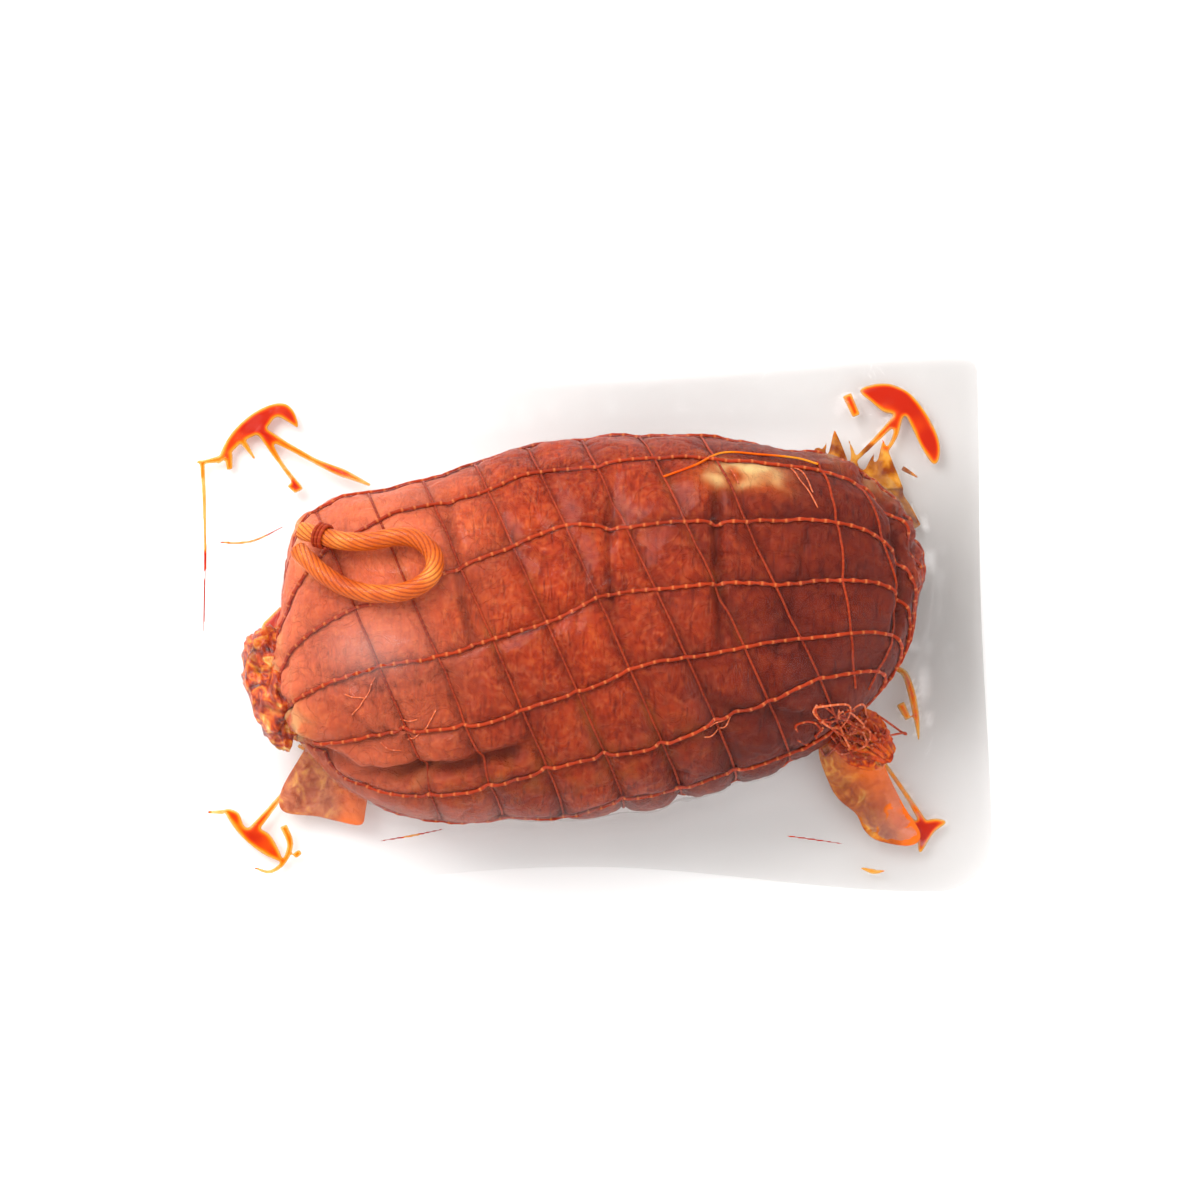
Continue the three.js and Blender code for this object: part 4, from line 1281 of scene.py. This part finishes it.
def makeUpperFilm():
    # rays from outside find what lies under each point, then the net of points is drawn taut over it
    bodyRows, skirtRows = pack["bodyRows"], pack["flangeRows"]
    columns = len(edge)
    latitudes = math.pi / 2 - np.linspace(0, 1, bodyRows) ** 0.9 * (math.pi / 2 + math.radians(10))
    obstacles = [sausageTree, treeOf(hangingCord), treeOf(knotPiece), treeOf(bunchPiece)]
    obstacles += [treeOf(casingTailPiece), treeOf(netTailPiece)]
    grid = np.zeros((bodyRows, columns, 3))
    ways = np.zeros((bodyRows, columns, 3))
    height = np.zeros((bodyRows, columns))
    for r, latitude in enumerate(latitudes):
        lat = np.full(columns, latitude)
        base = bodyPoint(edgeAngle, lat, 0)
        outer = bodyPoint(edgeAngle, lat, 30)
        way = outer - base
        reach = np.linalg.norm(way, axis=1)
        way = way / reach[:, None]
        grid[r], ways[r] = base, way
        for c in range(columns):
            best = -6.0
            start = Vector(base[c] + way[c] * 34) * mm
            for tree in obstacles:
                hit = tree.ray_cast(start, Vector(-way[c]), 44 * mm)
                if hit[0] is not None:
                    best = max(best, 34 - hit[3] / mm)
            height[r, c] = best
    height[height < -5] = 0
    taut = height.copy()
    for _ in range(14):
        up = np.vstack([taut[:1], taut[:-1]])
        down = np.vstack([taut[1:], taut[-1:]])
        blur = (2 * taut + np.roll(taut, 1, axis=1) + np.roll(taut, -1, axis=1) + up + down) / 6
        taut = np.maximum(blur, height)
    taut += pack["gap"]
    film = grid + ways * taut[:, :, None]
    # thin ridges where the film has puckered
    flat = film.reshape(-1, 3) * mm
    ridge = (1 - np.abs(noiseAt(flat, 20, 12, 2))) ** 8
    film = film + ways * (pack["pucker"] * ridge.reshape(bodyRows, columns))[:, :, None]
    last = film[-1]
    rows = [film[r] for r in range(bodyRows)]
    shares = np.linspace(0, 1, skirtRows + 1)[1:] ** 1.25
    covers = [treeOf(p) for p in poolPieces + [casingTailPiece, netTailPiece]]
    for share in shares:
        xy = last[:, :2] + (edge - last[:, :2]) * share
        low, out = lowerFilmTop(xy[:, 0], xy[:, 1])
        low = low + 0.35
        for c in range(columns):
            for tree in covers:
                hit = tree.ray_cast(Vector((xy[c, 0], xy[c, 1], 60)) * mm, Vector((0, 0, -1)), 0.1)
                if hit[0] is not None:
                    low[c] = max(low[c], hit[0].z / mm + 0.4)
        fold = np.abs(noiseAt(np.stack([xy[:, 0] * 0.35, xy[:, 1] * 0.35, 0 * low], axis=1) * mm, 7, 21, 2))
        strong = 0.35 + 1.3 * smoothStep(xy[:, 0], 85, 125)
        low = low + strong * (1 - np.minimum(fold * 2.2, 1)) ** 2 * math.sin(math.pi * min(share * 1.05, 1))
        z = low + np.maximum(0, last[:, 2] - low) * (1 - share) ** 7
        rows.append(np.column_stack([xy, z]))
    rows = np.array(rows)
    # ease the foot of the skirt
    for _ in range(3):
        z = rows[bodyRows - 3:-1, :, 2]
        rows[bodyRows - 2:-2, :, 2] = (z[:-2] + 2 * z[1:-1] + z[2:]) / 4
    piece = filmMesh("upper_film", rows * mm, "film_upper", False)
    x, y, z = (vertexArray(piece) / mm).T
    _, out = lowerFilmTop(x, y)
    flange = smoothStep(out, 0.45, 0.7) * (z < 30)
    # painted shade: grey haze on the flange, stronger towards the right
    milk = 0.003 + flange * (0.1 * smoothStep(x, -60, 150))
    # painted reflection: a milky band along the lower side
    milk = milk + 0.1 * smoothStep(-y, 52, 76) * smoothStep(z, 8, 20) * (1 - smoothStep(z, 46, 64))
    # painted highlight: a milky shine on the left bulge
    spotX, spotY, wide, deep = pack["milkySpot"]
    milk = milk + 0.17 * np.exp(-((x - spotX) / wide) ** 2 - ((y - spotY) / deep) ** 2) * (z > 30)
    # over the fat it is wetted, and neither milky nor shiny
    wet = np.zeros(len(x))
    trees = [treeOf(p) for p in poolPieces]
    for i, place in enumerate(vertexArray(piece)):
        if flange[i] > 0 and any(t.ray_cast(Vector(place), Vector((0, 0, -1)), 0.004)[0] for t in trees):
            wet[i] = 1
    milk = milk * (1 - wet)
    setAttribute(piece, "milk", milk)
    # where it clings wet to the casing it shines far less than where it stands free
    right = smoothStep(x, 90, 128)
    setAttribute(piece, "loose", (0.28 + flange * (0.6 + 1.2 * right)) * (1 - 0.85 * wet))
    # painted shade: the flange greys from the left towards the right, less along the bottom, most at the
    # middle of the right side, and unevenly
    paintedFlangeShade = smoothStep(x, -125, 10) * (0.3 - 0.14 * smoothStep(-y, -20, 40))
    paintedFlangeShade = paintedFlangeShade + right * (0.02 + 0.24 * (1 - smoothStep(np.abs(y - 5), 30, 70)))
    paintedFlangeShade = paintedFlangeShade + 0.06 * noiseAt(vertexArray(piece), 60, 51, 2)
    # painted glints: small patches on the right flange are cleared of the painted shade, so they show white
    for midX, midY, wide, long in pack["brightPuckers"]:
        paintedFlangeShade = paintedFlangeShade * (1 - np.exp(-((x - midX) / wide) ** 4 - ((y - midY) / long) ** 4))
    setAttribute(piece, "paintedShadeTint", np.clip(paintedFlangeShade * (1 - wet) * smoothStep(out, 0.2, 0.6) * (z < 30), 0, 1))
    return piece


def makeLowerFilm():
    rows = []
    for share in np.linspace(0, 1, pack["underRows"]):
        latitude = -math.pi / 2 + (pack["footLatitude"] + math.pi / 2) * share
        point = bodyPoint(edgeAngle, np.full(len(edge), latitude), 1.2)
        point[:, 2] = point[:, 2] - body["floor"] + 1.2 + 0.3
        rows.append(point)
    lift = body["floor"] - 1.5
    for row in rows:
        row[:, 2] += lift * smoothStep(row[:, 2], 0.3, 6)
    foot = rows[-1]
    for share in np.linspace(0, 1, pack["underRows"] + 1)[1:]:
        xy = foot[:, :2] + (edge - foot[:, :2]) * share
        low, _ = lowerFilmTop(xy[:, 0], xy[:, 1])
        low = foot[:, 2] + (low - foot[:, 2]) * float(smoothStep(share, 0, 0.2))
        rows.append(np.column_stack([xy, low]))
    piece = filmMesh("lower_film", np.array(rows) * mm, "film_lower", True)
    x, y, z = (vertexArray(piece) / mm).T
    setAttribute(piece, "milk", 0.01 + 0.05 * smoothStep(x, -110, 150))
    setAttribute(piece, "loose", np.full(len(x), 0.5))
    setAttribute(piece, "paintedShadeTint", np.zeros(len(x)))
    return piece


upperFilm = makeUpperFilm()
lowerFilm = makeLowerFilm()
print("film drawn tight,", len(upperFilm.data.polygons), "faces")


studio = {
    "floorSize": 6,
    "air": 1.0,          # strength of the white room
    "lights": [          # name, place, size, watts
        ("window", (-0.9, 0.9, 1.5), (1.3, 1.3), 36),
        ("fill", (1.3, -0.7, 1.1), (1.6, 1.6), 8),
    ],
}


def makeFloor():
    # matt white board, so nothing of the pack is mirrored in it
    bpy.ops.object.select_all(action="DESELECT")
    bpy.ops.mesh.primitive_plane_add(size=studio["floorSize"], location=(0, 0, -0.0004))
    floor = bpy.context.object
    floor.name = "floor"
    material, tree, output = newMaterial("matt white board")
    board = addNode(tree, "ShaderNodeBsdfPrincipled", Base_Color=toLinear("#F7F6F5"), Roughness=0.9)
    tree.links.new(board.outputs[0], output.inputs["Surface"])
    floor.data.materials.append(material)


def addLight(name, location, size, power):
    light = bpy.data.lights.new(name, "AREA")
    light.shape = "RECTANGLE"
    light.size, light.size_y = size
    light.energy = power
    holder = bpy.data.objects.new(name, light)
    bpy.context.collection.objects.link(holder)
    holder.location = location
    holder.rotation_euler = (-Vector(location)).to_track_quat("-Z", "Y").to_euler()


makeFloor()
world = bpy.data.worlds.new("studio")
bpy.context.scene.world = world
world.use_nodes = True
world.node_tree.nodes["Background"].inputs[0].default_value = toLinear("#FFFFFF")
world.node_tree.nodes["Background"].inputs[1].default_value = studio["air"]
for name, location, size, power in studio["lights"]:
    addLight(name, location, size, power)
print("floor and lights set")
bpy.context.scene.view_settings.view_transform = "Standard"
